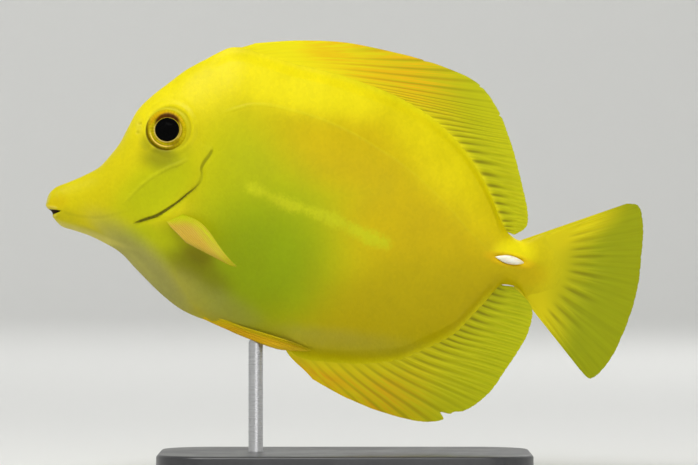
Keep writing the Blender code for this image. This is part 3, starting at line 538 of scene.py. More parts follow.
def make_object(name, vertices, faces, attributes=None, sharp=None):
    """A smooth mesh object from vertices in millimetres, faces turned outward."""
    mesh = bpy.data.meshes.new(name)
    mesh.from_pydata(np.asarray(vertices, float) * MM, [], faces)
    for key, values in (attributes or {}).items():
        layer = mesh.attributes.new(key, "FLOAT", "POINT")
        layer.data.foreach_set("value", np.ascontiguousarray(values, np.float32).ravel())
    work = bmesh.new()
    work.from_mesh(mesh)
    bmesh.ops.recalc_face_normals(work, faces=work.faces)
    work.to_mesh(mesh)
    work.free()
    mesh.polygons.foreach_set("use_smooth", np.ones(len(mesh.polygons), bool))
    if sharp is not None:
        mesh.set_sharp_from_angle(angle=math.radians(sharp))
    mesh.update()
    thing = bpy.data.objects.new(name, mesh)
    bpy.context.scene.collection.objects.link(thing)
    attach(thing, "root")
    return thing


def tube_faces(rings, count, closed_ends=True):
    """Four-sided faces between rings of a closed section, with the ends closed."""
    ring = np.arange(rings - 1)[:, None] * count
    step = np.arange(count)[None, :]
    beside = (step + 1) % count
    faces = np.stack((ring + step, ring + beside, ring + beside + count, ring + step + count), 2)
    faces = faces.reshape(-1, 4).tolist()
    if closed_ends:
        faces.append(list(range(count)))
        faces.append([(rings - 1) * count + number for number in reversed(range(count))])
    return faces


def sheet_faces(across, along):
    """Faces of a closed thin body whose two faces are grids of across by along points."""
    number = np.arange(across * along).reshape(across, along)
    near = np.stack((number[:-1, :-1], number[1:, :-1], number[1:, 1:], number[:-1, 1:]), 2)
    near = near.reshape(-1, 4)
    far = near[:, ::-1] + number.size
    loop = np.concatenate((number[:, 0], number[-1, 1:], number[-2::-1, -1], number[0, -2:0:-1]))
    after = np.roll(loop, -1)
    rim = np.stack((after, loop, loop + number.size, after + number.size), 1)
    return np.concatenate((near, far, rim)).tolist()


def ring_object(name, x, y, z, slot, attributes=None, sharp=None):
    """A closed body from grids whose rows are its rings."""
    points = np.stack(np.broadcast_arrays(x, y, z), axis=2)
    faces = tube_faces(*points.shape[:2])
    return make_object(name, points.reshape(-1, 3), faces, attributes, sharp)


def full_turn(count):
    """Angles round a circle, as one row."""
    return np.linspace(0.0, 2.0 * math.pi, count, endpoint=False)[None, :]


# Skin

def skin_grid():
    """The left face of the body: x along it, angle from the back down to the belly.

    Height is the widest level plus the reach times the angle's sine. Half width is
    the body's width times the angle's cosine to twice the sharpness. Over the tail
    fin the rings turn into arcs about the hub of its rays, and the flesh thins out.
    """
    places = [
        np.linspace(start, end, count, endpoint=False)
        for (start, count), (end, _) in zip(RING_PLAN[:-1], RING_PLAN[1:])
    ]
    x = np.append(np.concatenate(places), RING_PLAN[-1][0])[:, None]
    angle = np.linspace(0.5 * math.pi, -0.5 * math.pi, RING_STEPS + 1)[None, :]
    level = widest_at(x)
    above, below = sheaths(x)
    top = back_at(x) + above
    bottom = belly_at(x) - below
    z = level + np.where(angle > 0, top - level, level - bottom) * np.sin(angle)
    y = width_at(x) * np.clip(np.cos(angle), 0.0, 1.0) ** (2.0 * sharpness_at(x))
    for climb, depth in ((above, top - z), (below, z - bottom)):
        y = y * (1.0 - PINCH * climb / SHEATH * (1.0 - smooth_step(depth, *PINCH_DEPTH)))
    reach = x - FAN_HUB[0]
    y = y * (1.0 - 0.99 * smooth_step(reach, *FAN_SKIN_END))
    turn = smooth_step(x, *FAN_TURN)
    way = np.radians(FAN_SKIN[0] + (FAN_SKIN[1] - FAN_SKIN[0]) * (0.5 - 0.5 * np.sin(angle)))
    x = x + turn * (FAN_HUB[0] + reach * np.cos(way) - x)
    z = z + turn * (FAN_HUB[1] - reach * np.sin(way) - z)
    return np.stack((x, y, z), axis=2)


def grid_normals(points):
    """Outward directions of a grid of points: the cross product of its two runs."""
    normal = np.cross(np.gradient(points, axis=1), np.gradient(points, axis=0))
    normal = normal / np.maximum(np.linalg.norm(normal, axis=2, keepdims=True), 1e-9)
    return np.where(normal[..., 1:2] < 0, -normal, normal)


def line_relief(x, z, points, fade, height, width, loss):
    """A line's relief, the signed distance to it and its strength along itself."""
    away, along = distance_to_line(x, z, points)
    strength = between(along, *fade) * (1.0 - loss * smooth_step(along, 0.45, 0.7))
    return height * strength * bump(away, 0.0, width), away, strength


def rims(reach, *shapes):
    """Raised and sunk rims round an ellipse, each a bell across its own reach."""
    return sum(height * bump(reach, place, width) for place, width, height in shapes)


def nearness(reach):
    """An ellipse's reach stored so that 0 is far away from it."""
    return np.maximum(FAR - reach, 0.0)


def gill_relief(x, z):
    """The raised free edge of the gill cover, the step and slit behind it, their masks."""
    behind, along = distance_to_line(x, z, GILL_EDGE)
    fade = between(along, 0.0, 0.06, 0.93, 1.0)
    relief = fade * np.where(
        behind < 0,
        GILL_LIP[0] * bump(behind, 0.0, GILL_LIP[1]),
        GILL_STEP[0] * bump(behind, 0.2, GILL_STEP[1]),
    )
    relief = relief + GILL_SLIT[0] * fade * bump(behind, 0.0, GILL_SLIT[1])
    # Painted shade along the gill opening: its half width, and how dark it is, with a pale spot by
    # its bend
    width = 0.42 + 0.36 * bump(along, 0.84, 0.13) + 0.30 * bump(along, 0.12, 0.12)
    dark = 0.36 + 0.64 * smooth_step(along, 0.4, 0.6)
    dark = dark * (1.0 - 0.85 * bump(along, 0.38, 0.09))
    return relief, {"gill": behind, "gill_width": fade * width, "gill_dark": fade * dark}


def eye_relief(x, z):
    """The orbit's rims, the lid and the wrinkles below, the eye's wall, their masks."""
    eye = ellipse_reach(x, z, EYE_HOLE, EYE_OPENING)
    orbit = ellipse_reach(x, z, ORBIT, ORBIT_SIZE)
    run = x - EYE_CENTRE[0]
    climb = z - EYE_CENTRE[1]
    low_front = -(0.82 * run + 0.57 * climb) / np.maximum(np.hypot(run, climb), 0.1)
    place, width, height, less = ORBIT_FOLD
    relief = rims(orbit, *ORBIT_RIMS, (place, width, height + less * low_front))
    relief = relief + rims(eye, LID_RIM)
    folds = np.sin(9.0 * orbit + 0.9 * np.sin(1.3 * x)) * np.sin(0.8 * x + 0.5)
    wrinkled = soft_patch(x, z, WRINKLES, WRINKLES_SIZE, WRINKLES_TILT)
    relief = relief + FOLD_HEIGHT * wrinkled * folds
    wall = EYE_WALL * (1.0 - smooth_step(eye, 0.86, 1.0))
    masks = {"eye": nearness(eye), "orbit": nearness(orbit), "low_front": low_front}
    return relief, wall, masks


def skin_relief(x, z):
    """How far the skin stands out from the plain body, the depth of the wall that
    closes the eye's opening, and the masks of its marks.
    """
    relief, masks = gill_relief(x, z)
    for name, line in SKIN_LINES.items():
        raised, masks[name], masks[name + "_fade"] = line_relief(x, z, *line)
        relief = relief + raised
    relief = relief + line_relief(x, z, *LIP_LINE)[0]
    shoulder, along = distance_to_line(x, z, SHOULDER_LINE)
    height, width = SHOULDER_RISE
    relief = relief + height * np.sin(math.pi * along) * bump(shoulder, 0.0, width)
    raised, wall, eye_masks = eye_relief(x, z)
    relief = relief + raised
    masks.update(eye_masks)
    nostril = np.minimum(*[ellipse_reach(x, z, centre, NOSTRIL_SIZE) for centre in NOSTRILS])
    relief = relief - NOSTRIL_DEPTH * (1.0 - smooth_step(nostril, 0.4, 1.2))
    relief = relief + rims(nostril, NOSTRIL_RIM)
    spine = ellipse_reach(
        x, z, SPINE_CENTRE, (0.5 * SPINE_SIZE[0], 0.5 * SPINE_SIZE[2]), -SPINE_TILT
    )
    relief = relief - SPINE_GROOVE * (1.0 - smooth_step(spine, 0.75, 1.25))
    relief = relief + rims(spine, SPINE_RIM)
    shoulder = ellipse_reach(x, z, FIN_SHOULDER, FIN_SHOULDER_SIZE, FIN_SHOULDER_TILT)
    relief = relief + FIN_SHOULDER_RISE * bump(shoulder, 0.0, 1.0)
    band, along = distance_to_line(x, z, PALE_BAND)
    half = 1.7 + 0.3 * smooth_step(along, 0.0, 0.4) + 0.4 * smooth_step(along, 0.5, 0.9)
    half = half + 0.3 * np.sin(23.0 * along) + 0.2 * np.sin(51.0 * along)
    masks["band"] = half - np.abs(band)
    masks["fan"] = fan_shade(x, z) * (x > FAN_HUB[0])
    masks["nostril"] = nearness(nostril)
    masks["spine"] = nearness(spine)
    return relief, wall, masks


def open_mouth(points):
    """Fold the skin in between the lips, from the mouth's corner to its front.

    Inside the wedge each point moves in towards the middle plane and back towards
    the corner, as the wall of the mouth, which is painted dark as its shade. The lips outside the
    wedge swell.
    """
    x, y, z = np.moveaxis(points, 2, 0)
    corner_x, corner_z = MOUTH_CORNER
    share = np.clip((corner_x - x) / (corner_x - MOUTH_FRONT_X), 0.0, 1.0)
    half = 0.08 + MOUTH_HALF_OPENING * share ** 0.9
    middle = corner_z + MOUTH_RISE * share
    away = np.abs(z - middle)
    inside = smooth_step(corner_x - x, -0.3, 0.35)
    pull = (1.0 - smooth_step(away / half, 0.80, 1.0)) * inside
    swell = LIP_SWELL * bump(away - half, 0.45, 0.4) * inside
    swell = swell * smooth_step(share, 0.05, 0.4) * (1.0 - 0.9 * smooth_step(share, 0.8, 1.0))
    target = np.stack((
        x + MOUTH_DEPTH[0] * (corner_x - x), y * (1.0 - MOUTH_DEPTH[1]),
        middle + 0.8 * (z - middle),
    ), axis=2)
    return points + (target - points) * pull[..., None], swell, pull


def skin_shades(x, z):
    """Where each colour of the skin lies: soft patches over the flank, head and belly."""
    return {
        name: np.max([
            strength * soft_patch(x, z, centre, radii, tilt)
            for centre, radii, tilt, strength in patches
        ], axis=0)
        for name, patches in SKIN_PATCHES.items()
    }


# Fins

def ray_relief(across, along, rays, spines):
    """Height of the fin rays, 1 on a crest, and how deep in the gap between rays.

    Soft rays are one ridge at the root, which parts in two and then in four
    towards the edge. Spines stay single.
    """
    ray = across * rays
    place = ray - np.floor(ray) - 0.5
    soft = smooth_step(np.floor(ray), spines - 0.5, spines + 0.5)
    first = 0.20 * smooth_step(along, 0.30, 0.75) * soft
    second = 0.085 * smooth_step(along, 0.62, 1.0) * soft
    width = 0.23 - 0.13 * smooth_step(along, 0.25, 0.95) * soft - 0.07 * (1.0 - soft) * along
    height = np.zeros_like(place)
    for way in (-first, first):
        for turn in (-second, second):
            height = np.maximum(height, bump(place, way + turn, width))
    return height, smooth_step(np.abs(place), 0.24, 0.46)


def fin_sheet(plan, root, edge):
    """A fin's middle surface, how far its rays stand out of its membrane and its masks,
    on a grid of root by ray.

    A point is the root plus the ray times its share, plus a bow that is greatest
    before half way. The rays lean back as their tips move along the edge by the
    lean times a sine that fades to the rear. The edge falls back between the ray
    tips and at each nick.
    """
    rays = plan["rays"]
    across = np.linspace(0.0, 1.0, rays * plan["columns"] + 1)[:, None]
    along = np.linspace(0.0, 1.0, plan["rows"])[None, :] ** 0.92
    lean, fade = plan["lean"]
    leant = across + lean * np.sin(math.pi * across) * (1.0 - across) ** fade
    foot = root(across[:, 0])
    run = edge(leant[:, 0]) - foot
    height, gap = ray_relief(np.clip(across, 0.0, 0.999999), along, rays, plan["spines"])
    uneven = 1.0 - height[:, -1:] + 0.35 * np.sin(across * rays * 2.4) ** 2
    fall = plan["notch"] * uneven
    for place, width, depth in plan["nicks"]:
        fall = fall + depth * bump(leant, place, width)
    share = along * (1.0 - fall / np.linalg.norm(run, axis=1)[:, None] * along ** 5)
    first_bow, last_bow = np.array(plan["bows"])
    bow = first_bow + (last_bow - first_bow) * across[..., None]
    bend = np.sin(math.pi * np.maximum(share, 0.0) ** BOW_PEAK)[..., None] ** 2 * bow
    middle = foot[:, None, :] + run[:, None, :] * share[..., None] + bend
    rise = np.interp(along, (0.0, 0.06, 0.7, 1.0), (0.3, 1.0, 0.6, 0.25))
    masks = {
        "along": np.broadcast_to(along, height.shape),
        "across": np.broadcast_to(across, height.shape),
        "crest": height,
        "gap": gap,
    }
    return middle, plan["relief"] * rise * height, masks


def membrane(along, at_root, at_middle):
    """Half thickness of a fin's membrane along its rays."""
    return np.interp(
        along, (0.0, 0.22, 0.8, 1.0), (at_root, at_middle, at_middle, EDGE_THICKNESS)
    )


def upright_root(points, edge_at, outward):
    """Root line in the middle plane, a little inside the back or the belly."""
    def place(across):
        x = smooth_line(points, across)[:, 0]
        slope = (edge_at(x + 0.8) - edge_at(x - 0.8)) / 1.6
        sink = outward * UPRIGHT_SINK / np.hypot(slope, 1.0)
        return np.stack((x + slope * sink, np.zeros_like(x), edge_at(x) - sink), axis=1)
    return place


def flat_line(points):
    """A line in the middle plane."""
    return lambda across: np.insert(smooth_line(points, across), 1, 0.0, axis=1)


def flank_line(points):
    """Root line of a paired fin, a little inside the skin of the flank."""
    def place(across):
        foot = smooth_line(points, across)
        return np.insert(foot, 1, half_width_at(*foot.T) - PAIRED_SINK, axis=1)
    return place


def fin_object(name, middle, half, masks, mirror=1.0, direction=None):
    """A closed fin: two faces, each half the thickness from its middle surface along
    a direction or its normal, and the masks that its finish reads.
    """
    if direction is None:
        direction = np.cross(np.gradient(middle, axis=0), np.gradient(middle, axis=1))
        direction = direction / np.linalg.norm(direction, axis=2, keepdims=True)
    step = np.array(direction) * half[..., None]
    faces = np.stack((middle + step, middle - step)) * np.array((1.0, mirror, 1.0))
    doubled = {
        key: np.tile(np.broadcast_to(value, middle.shape[:2]).ravel(), 2)
        for key, value in masks.items()
    }
    return make_object(
        name, faces.reshape(-1, 3), sheet_faces(*middle.shape[:2]), doubled, sharp=50
    )


# Shader nodes

def linear(colour):
    """A colour as it is seen, turned into the shader's linear numbers."""
    parts = [c / 12.92 if c <= 0.04045 else ((c + 0.055) / 1.055) ** 2.4 for c in colour[:3]]
    return (*parts, 1.0)


class Value:
    """An output of a shader node, for use in sums and products."""

    def __init__(self, nodes, socket):
        self.nodes = nodes
        self.socket = socket

    def __abs__(self):
        return self.nodes.maths("ABSOLUTE", self)

    def __add__(self, other):
        return self.nodes.maths("ADD", self, other)

    def __sub__(self, other):
        return self.nodes.maths("SUBTRACT", self, other)

    def __rsub__(self, other):
        return self.nodes.maths("SUBTRACT", other, self)

    def __mul__(self, other):
        return self.nodes.maths("MULTIPLY", self, other)

    def rise(self, low, high, to_low=0.0, to_high=1.0):
        """A smooth change from one number to another as this goes from low to high."""
        return self.nodes.add(
            "ShaderNodeMapRange", {0: self, 1: low, 2: high, 3: to_low, 4: to_high},
            interpolation_type="SMOOTHSTEP",
        )

    def beside(self, name):
        """Another output of the same node."""
        return Value(self.nodes, self.socket.node.outputs[name])


class Nodes:
    """The nodes of a material or of a shader group."""

    def __init__(self, tree):
        self.tree = tree

    def feed(self, socket, value):
        """Link a value to an input, or set the input's own constant."""
        if isinstance(value, Value):
            self.tree.links.new(value.socket, socket)
        else:
            socket.default_value = value

    def add(self, kind, inputs=None, output=0, **settings):
        """An output of a new node. Inputs are values or constants by name or number."""
        node = self.tree.nodes.new(kind)
        for key, value in settings.items():
            setattr(node, key, value)
        for key, value in (inputs or {}).items():
            self.feed(node.inputs[key], value)
        return Value(self, node.outputs[output])

    def maths(self, operation, *numbers):
        """The result of a Math node."""
        return self.add("ShaderNodeMath", dict(enumerate(numbers)), operation=operation)

    def mask(self, name):
        """A number stored on the mesh."""
        return self.add("ShaderNodeAttribute", output="Fac", attribute_name=name)

    def place(self, scale=(1.0, 1.0, 1.0)):
        """Object coordinates, stretched."""
        place = self.add("ShaderNodeTexCoord", output="Object")
        return self.add("ShaderNodeMapping", {"Vector": place, "Scale": scale})

    def spot(self, across, along):
        """Two numbers as a place for noise."""
        return self.add("ShaderNodeCombineXYZ", {0: across, 1: along})

    def noise(self, place, scale, detail, roughness=0.5):
        """Noise between 0 and 1."""
        return self.add("ShaderNodeTexNoise", {
            "Vector": place, "Scale": scale, "Detail": detail, "Roughness": roughness,
        })

    def group(self, name, make, inputs=None):
        """A shader group, made when it is first asked for, with its own values."""
        tree = bpy.data.node_groups.get(name) or make(name)
        return self.add("ShaderNodeGroup", inputs, node_tree=tree)


class Effect(Nodes):
    """A shader group in the making. Numbers go in, and made() names what comes out."""

    def __init__(self, name, **inputs):
        super().__init__(bpy.data.node_groups.new(name, "ShaderNodeTree"))
        start = self.tree.nodes.new("NodeGroupInput")
        self.inputs = {}
        for key, value in inputs.items():
            label = key.replace("_", " ")
            self.socket(label, "INPUT").default_value = value
            self.inputs[key] = Value(self, start.outputs[label])

    def socket(self, label, way):
        """A number that goes into the group or comes out of it."""
        return self.tree.interface.new_socket(
            name=label, in_out=way, socket_type="NodeSocketFloat"
        )

    def made(self, **outputs):
        """The finished group."""
        end = self.tree.nodes.new("NodeGroupOutput")
        for label, value in outputs.items():
            self.socket(label, "OUTPUT")
            self.feed(end.inputs[label], value)
        return self.tree


class Finish(Nodes):
    """A material in the making: its Principled shader and the colour so far."""

    def __init__(self, name, seen, **constants):
        self.material = bpy.data.materials.new(name)
        self.material.use_nodes = True
        super().__init__(self.material.node_tree)
        self.colour = linear(seen)
        self.set(**constants)

    def set(self, **values):
        """Give the Principled shader's sockets constants or values."""
        shader = self.tree.nodes["Principled BSDF"]
        for key, value in values.items():
            self.feed(shader.inputs[key.replace("_", " ")], value)

    def cover(self, factor, colour, mode="MIX"):
        """Mix a linear colour over the colour so far."""
        self.colour = self.add(
            "ShaderNodeMix", {0: factor, 6: self.colour, 7: colour}, output=2,
            data_type="RGBA", blend_type=mode,
        )

    def paint(self, factor, seen):
        """Mix a colour, given as it is seen, over the colour so far."""
        self.cover(factor, linear(seen))

    def tint(self, tone, strength=1.0):
        """Multiply the colour so far by a tone near 1."""
        grey = self.add("ShaderNodeCombineColor", {0: tone, 1: tone, 2: tone})
        self.cover(strength, grey, "MULTIPLY")

    def emboss(self, height, distance):
        """Bump the surface. Height 1 is the distance in metres."""
        inputs = {"Height": height, "Distance": distance, "Strength": 1.0}
        self.set(Normal=self.add("ShaderNodeBump", inputs))

    def made(self):
        """The finished material."""
        self.set(Base_Color=self.colour)
        return self.material


def fine_scales(name):
    """Fine overlapping scales and mottling on the skin: a height and two masks.

    Small cells, taller than they are long, are domed by their distance to the
    cell's centre; broad soft noise gives the mottling.
    """
    effect = Effect(name, Scale=1500.0, Mottle_Scale=120.0)
    place = effect.place((1.0, 0.6, 0.75))
    cells = effect.add(
        "ShaderNodeTexVoronoi", {"Vector": place, "Scale": effect.inputs["Scale"]}
    )
    return effect.made(
        Height=1.0 - cells + effect.noise(place, 2600.0, 2.0, 0.6) * 0.35,
        Mottle=effect.noise(place, effect.inputs["Mottle_Scale"], 5.0, 0.6),
        Cell=effect.add("ShaderNodeSeparateColor", {0: cells.beside("Color")}),
    )


def ray_streaks(name):
    """Fine streaks that run along the fin rays, and the rays' cross joints.

    Noise is read with the place across the fin stretched far more than the place
    along it. The joints are a wave along the ray.
    """
    effect = Effect(name, Across=0.0, Along=0.0, Rays=20.0, Joints=26.0)
    across = effect.inputs["Across"] * effect.inputs["Rays"]
    along = effect.inputs["Along"]
    wave = effect.maths("SINE", along * effect.inputs["Joints"] * (2.0 * math.pi))
    return effect.made(
        Streak=effect.noise(effect.spot(across * 5.0, along * 3.0), 1.0, 3.0),
        Joint=wave.rise(0.55, 0.95),
        Cloud=effect.noise(effect.spot(across * 0.35, along * 2.2), 1.0, 3.0),
    )


# Materials

def skin_material(colours):
    """Moist yellow skin: soft shades of colour with painted light and shade, fine scales and the
    marks of head and flank.
    """
    skin = Finish(
        "tang_skin", colours.yellow, Coat_Weight=0.04, Coat_Roughness=0.25,
        Subsurface_Weight=0.10, Subsurface_Scale=0.002, Subsurface_Radius=(1.0, 0.7, 0.15),
        Specular_IOR_Level=0.11,
    )
    mark = skin.mask
    scales = skin.group("fine_scales", fine_scales)
    mottle = scales.beside("Mottle")
    for shade in SKIN_PATCHES:
        edge = mark(shade) + (mottle - 0.5) * 0.22
        skin.paint(edge.rise(0.02, 1.0), getattr(colours, shade))
    ragged = skin.noise(skin.place(), 900.0, 5.0, 0.8) - 0.5
    skin.paint((mark("band") + ragged * 5.0).rise(-0.6, 2.2, 0.0, 0.8), colours.band)
    # Painted light: a lighter yellow where the skin climbs the fins' roots, against the shade of the
    # fold there
    skin.paint((mark("keel") + ragged * 1.2).rise(0.15, 1.1, 0.0, 0.8), colours.keel)
    skin.paint(mark("fan"), colours.fan)
    # Lines of the head and flank, with painted shade in the jaw crease and the gill opening
    lines = {}
    for name, width, strength, seen in (
        ("cheek", 0.8, 0.15, colours.line),
        ("lateral", 0.7, 0.18, colours.line),
        ("jaw", 0.7, 0.12, colours.crease_shade),
    ):
        lines[name] = abs(mark(name)).rise(width, 0.1 * width) * mark(name + "_fade")
        skin.paint(lines[name] * strength, seen)
    width = skin.maths("MAXIMUM", mark("gill_width"), 0.02)
    across = skin.maths("DIVIDE", abs(mark("gill")), width)
    gill = across.rise(0.75, 0.25) * mark("gill_dark")
    skin.paint(gill * 0.9, colours.crease_shade)
    # Rings round the eye, with painted shade in its fold and at the lid's edge
    eye = FAR - mark("eye")
    orbit = FAR - mark("orbit")
    low_front = mark("low_front").rise(-0.7, 0.7)
    skin.paint(orbit.rise(0.98, 0.84, 0.0, 0.5), colours.orbit)
    fold = orbit.rise(0.80, 0.87) * orbit.rise(0.94, 0.88)
    skin.paint(fold * low_front.rise(1.0, 0.0, 0.0, 0.12), colours.crease_shade)
    # Painted shade in the crease where the skin meets the eye, darkest low in front
    skin.paint(eye.rise(1.07, 1.0) * low_front.rise(0.0, 1.0, 0.15, 0.85), colours.lid)
    # Nostrils with painted shade, groove of the tail spine, and the mouth painted dark as its shade
    skin.paint(mark("nostril").rise(1.8, 2.5, 0.0, 0.14), colours.crease_shade)
    skin.paint(mark("spine").rise(0.8, 2.1) * 0.35, colours.spine_glow)
    skin.paint(mark("lip").rise(0.1, 1.0, 0.0, 0.35), colours.lip)
    skin.paint(mark("mouth").rise(0.25, 0.8), colours.mouth)
    # Mottling and the tone of each scale
    skin.tint(mottle.rise(0.3, 0.7, 0.955, 1.035) + (scales.beside("Cell") - 0.5) * 0.05)
    skin.set(Roughness=mottle.rise(0.3, 0.7, 0.36, 0.50))
    height = scales * eye.rise(1.1, 1.7, 0.1, 1.0) * 0.22 - gill * 1.2
    skin.emboss(height + lines["cheek"] * 0.8 + lines["lateral"] * 0.6, 0.00018)
    return skin.made()


def fin_material(name, root, edge, warm, fins):
    """Translucent membrane over pale rays, with painted shade in the gaps between them near the root.
    """
    fin = Finish(
        "tang_fin_" + name, root, Roughness=0.45, Coat_Weight=0.04, Coat_Roughness=0.25,
        Subsurface_Weight=0.20, Subsurface_Scale=0.0015, Subsurface_Radius=(1.0, 0.75, 0.1),
        Specular_IOR_Level=0.11,
    )
    mark = fin.mask
    streak = fin.group("ray_streaks", ray_streaks, {
        "Across": mark("across"), "Along": mark("along"),
        "Rays": FINS[name]["rays"], "Joints": FINS[name]["joints"],
    })
    cloud = streak.beside("Cloud")
    crest = mark("crest")
    shown = mark("rays")
    fin.paint(mark("shade"), edge)
    front = mark("warm") * streak.rise(0.36, 0.60, 0.30, 1.0) * cloud.rise(0.3, 0.6, 0.6, 1.0)
    fin.paint(front, warm)
    fin.paint(crest * shown * 0.30, fins.ray)
    # Painted shade in the gaps between the rays
    fin.paint(mark("gap") * mark("dark"), fins.gap)
    fin.tint(streak.rise(0.3, 0.7, 0.90, 1.06) + (cloud - 0.5) * 0.10, shown)
    height = streak * 0.5 - streak.beside("Joint") * crest * 0.12
    fin.emboss(height * shown, 0.00008)
    return fin.made()


def eye_material(colours):
    """Wet eye: black pupil, pale ring, gold and brown iris with fine spokes, painted highlights and
    the painted shadow of the lid's rim.
    """
    eye = Finish(
        "tang_eye", colours.iris, Coat_Weight=0.02, Coat_Roughness=0.04, Specular_IOR_Level=0.02
    )
    ring, turn, upper, front = [eye.mask(name) for name in ("iris", "turn", "upper", "front")]
    spokes = eye.noise(eye.spot(turn * 60.0, ring * 2.0), 1.0, 4.0)
    cloud = eye.noise(eye.spot(turn * 7.0, ring * 6.0), 1.0, 3.0)
    low_front = front * 0.55 - upper * 0.83
    eye.paint(cloud.rise(0.35, 0.65), colours.iris_dark)
    for inner, outer, side, limits, strength, seen in (
        # Ring begins and is full, ends and begins to end; side begins and is full
        ((0.80, 0.92), (1.30, 1.20), upper, (0.0, 0.7), 0.70, colours.iris_orange),
        ((0.78, 0.88), (1.30, 1.20), upper, (-0.3, -0.8), 0.35, colours.iris_brown_and_shadow),
        # Painted highlights: an arc beside the pupil and one low in front
        ((0.70, 0.73), (0.79, 0.76), front, (-0.6, -0.95), 0.45, colours.iris_painted_highlight),
        ((0.86, 0.91), (0.98, 0.93), low_front, (0.45, 0.95), 0.9, colours.iris_painted_highlight),
        ((0.99, 1.05), (1.30, 1.20), low_front, (-0.2, 0.6), 0.5, colours.iris_brown_and_shadow),
        ((0.86, 1.00), (1.40, 1.30), front, (0.2, -0.8), 0.65, colours.iris_rim),
        ((0.93, 1.02), (1.40, 1.30), upper, (-0.2, 0.8), 0.5, colours.iris_rim),
        ((0.65, 0.67), (0.715, 0.69), low_front, (-1.1, 0.9), 0.65, colours.pupil_ring),
    ):
        part = ring.rise(*inner) * ring.rise(*outer)
        eye.paint(part * side.rise(*limits, 0.0, strength), seen)
    # Painted shadow of the lid's rim on the iris: a dark crescent above the pupil
    lens = ring - upper * 0.26
    brow = lens.rise(0.73, 0.575) * upper.rise(0.10, 0.75) * ring.rise(0.655, 0.68)
    eye.paint(brow * 0.97, colours.iris_brown_and_shadow)
    eye.tint(spokes.rise(0.3, 0.7, 0.82, 1.10))
    eye.paint(ring.rise(0.660, 0.638), colours.pupil)
    eye.set(Roughness=ring.rise(0.60, 0.66, 0.60, 0.30))
    eye.emboss(spokes, 0.00006)
    return eye.made()


def bone_material(colours):
    """Smooth white blade of the tail spine, faintly ringed and stained."""
    bone = Finish(
        "tang_spine", colours.bone, Roughness=0.30, Coat_Weight=0.3, Coat_Roughness=0.15,
        Subsurface_Weight=0.15, Subsurface_Scale=0.001,
    )
    cloud = bone.noise(bone.place((1.0, 1.0, 3.0)), 700.0, 4.0)
    bone.paint(cloud.rise(0.4, 0.75, 0.0, 0.45), colours.bone_stain)
    bone.paint(bone.mask("base").rise(0.5, 1.0, 0.0, 0.7), colours.bone_stain)
    bone.emboss(cloud, 0.00004)
    return bone.made()


def base_material(seen):
    """Satin lacquer on the base: a faint orange peel and fine handling marks."""
    base = Finish("stand_lacquer", seen, Coat_Weight=0.15, Coat_Roughness=0.3)
    place = base.place()
    wear = base.noise(place, 60.0, 6.0, 0.65)
    base.cover(wear.rise(0.35, 0.75), [min(1.0, part * 1.5) for part in linear(seen)])
    base.set(Roughness=wear.rise(0.3, 0.7, 0.30, 0.44))
    base.emboss(base.noise(place, 1800.0, 2.0), 0.00002)
    return base.made()


def steel_material():
    """Brushed steel rod: fine lines round it."""
    steel = Finish("stand_steel", (0.70, 0.70, 0.71), Metallic=1.0)
    lines = steel.noise(steel.place((30.0, 30.0, 6000.0)), 1.0, 3.0)
    steel.paint(lines, (0.82, 0.82, 0.83))
    steel.set(Roughness=lines.rise(0.3, 0.7, 0.24, 0.42))
    steel.emboss(lines, 0.00001)
    return steel.made()


def paper_material(seen):
    """Plain matt studio paper for the floor and backdrop, with a faint grain."""
    paper = Finish("studio_paper", seen, Roughness=0.9, Specular_IOR_Level=0.1)
    paper.tint(paper.noise(paper.place(), 400.0, 2.0) * 0.015 + 0.985)
    return paper.made()


# Settings that a user may change

def colour_setting(name, description, seen):
    """A colour of the sidebar panel."""
    return bpy.props.FloatVectorProperty(
        name=name, description=description, default=seen, size=3, min=0.0, max=1.0,
        subtype="COLOR_GAMMA",
    )


def length_setting(name, description, metres, least, most):
    """A length of the sidebar panel."""
    return bpy.props.FloatProperty(
        name=name, description=description, default=metres, min=least, max=most,
        unit="LENGTH", subtype="DISTANCE",
    )


def power_setting(name, description, watts):
    """The power of a light on the sidebar panel."""
    return bpy.props.FloatProperty(
        name=name, description=description, default=watts, min=0.0, max=100.0,
        unit="POWER", subtype="NONE",
    )


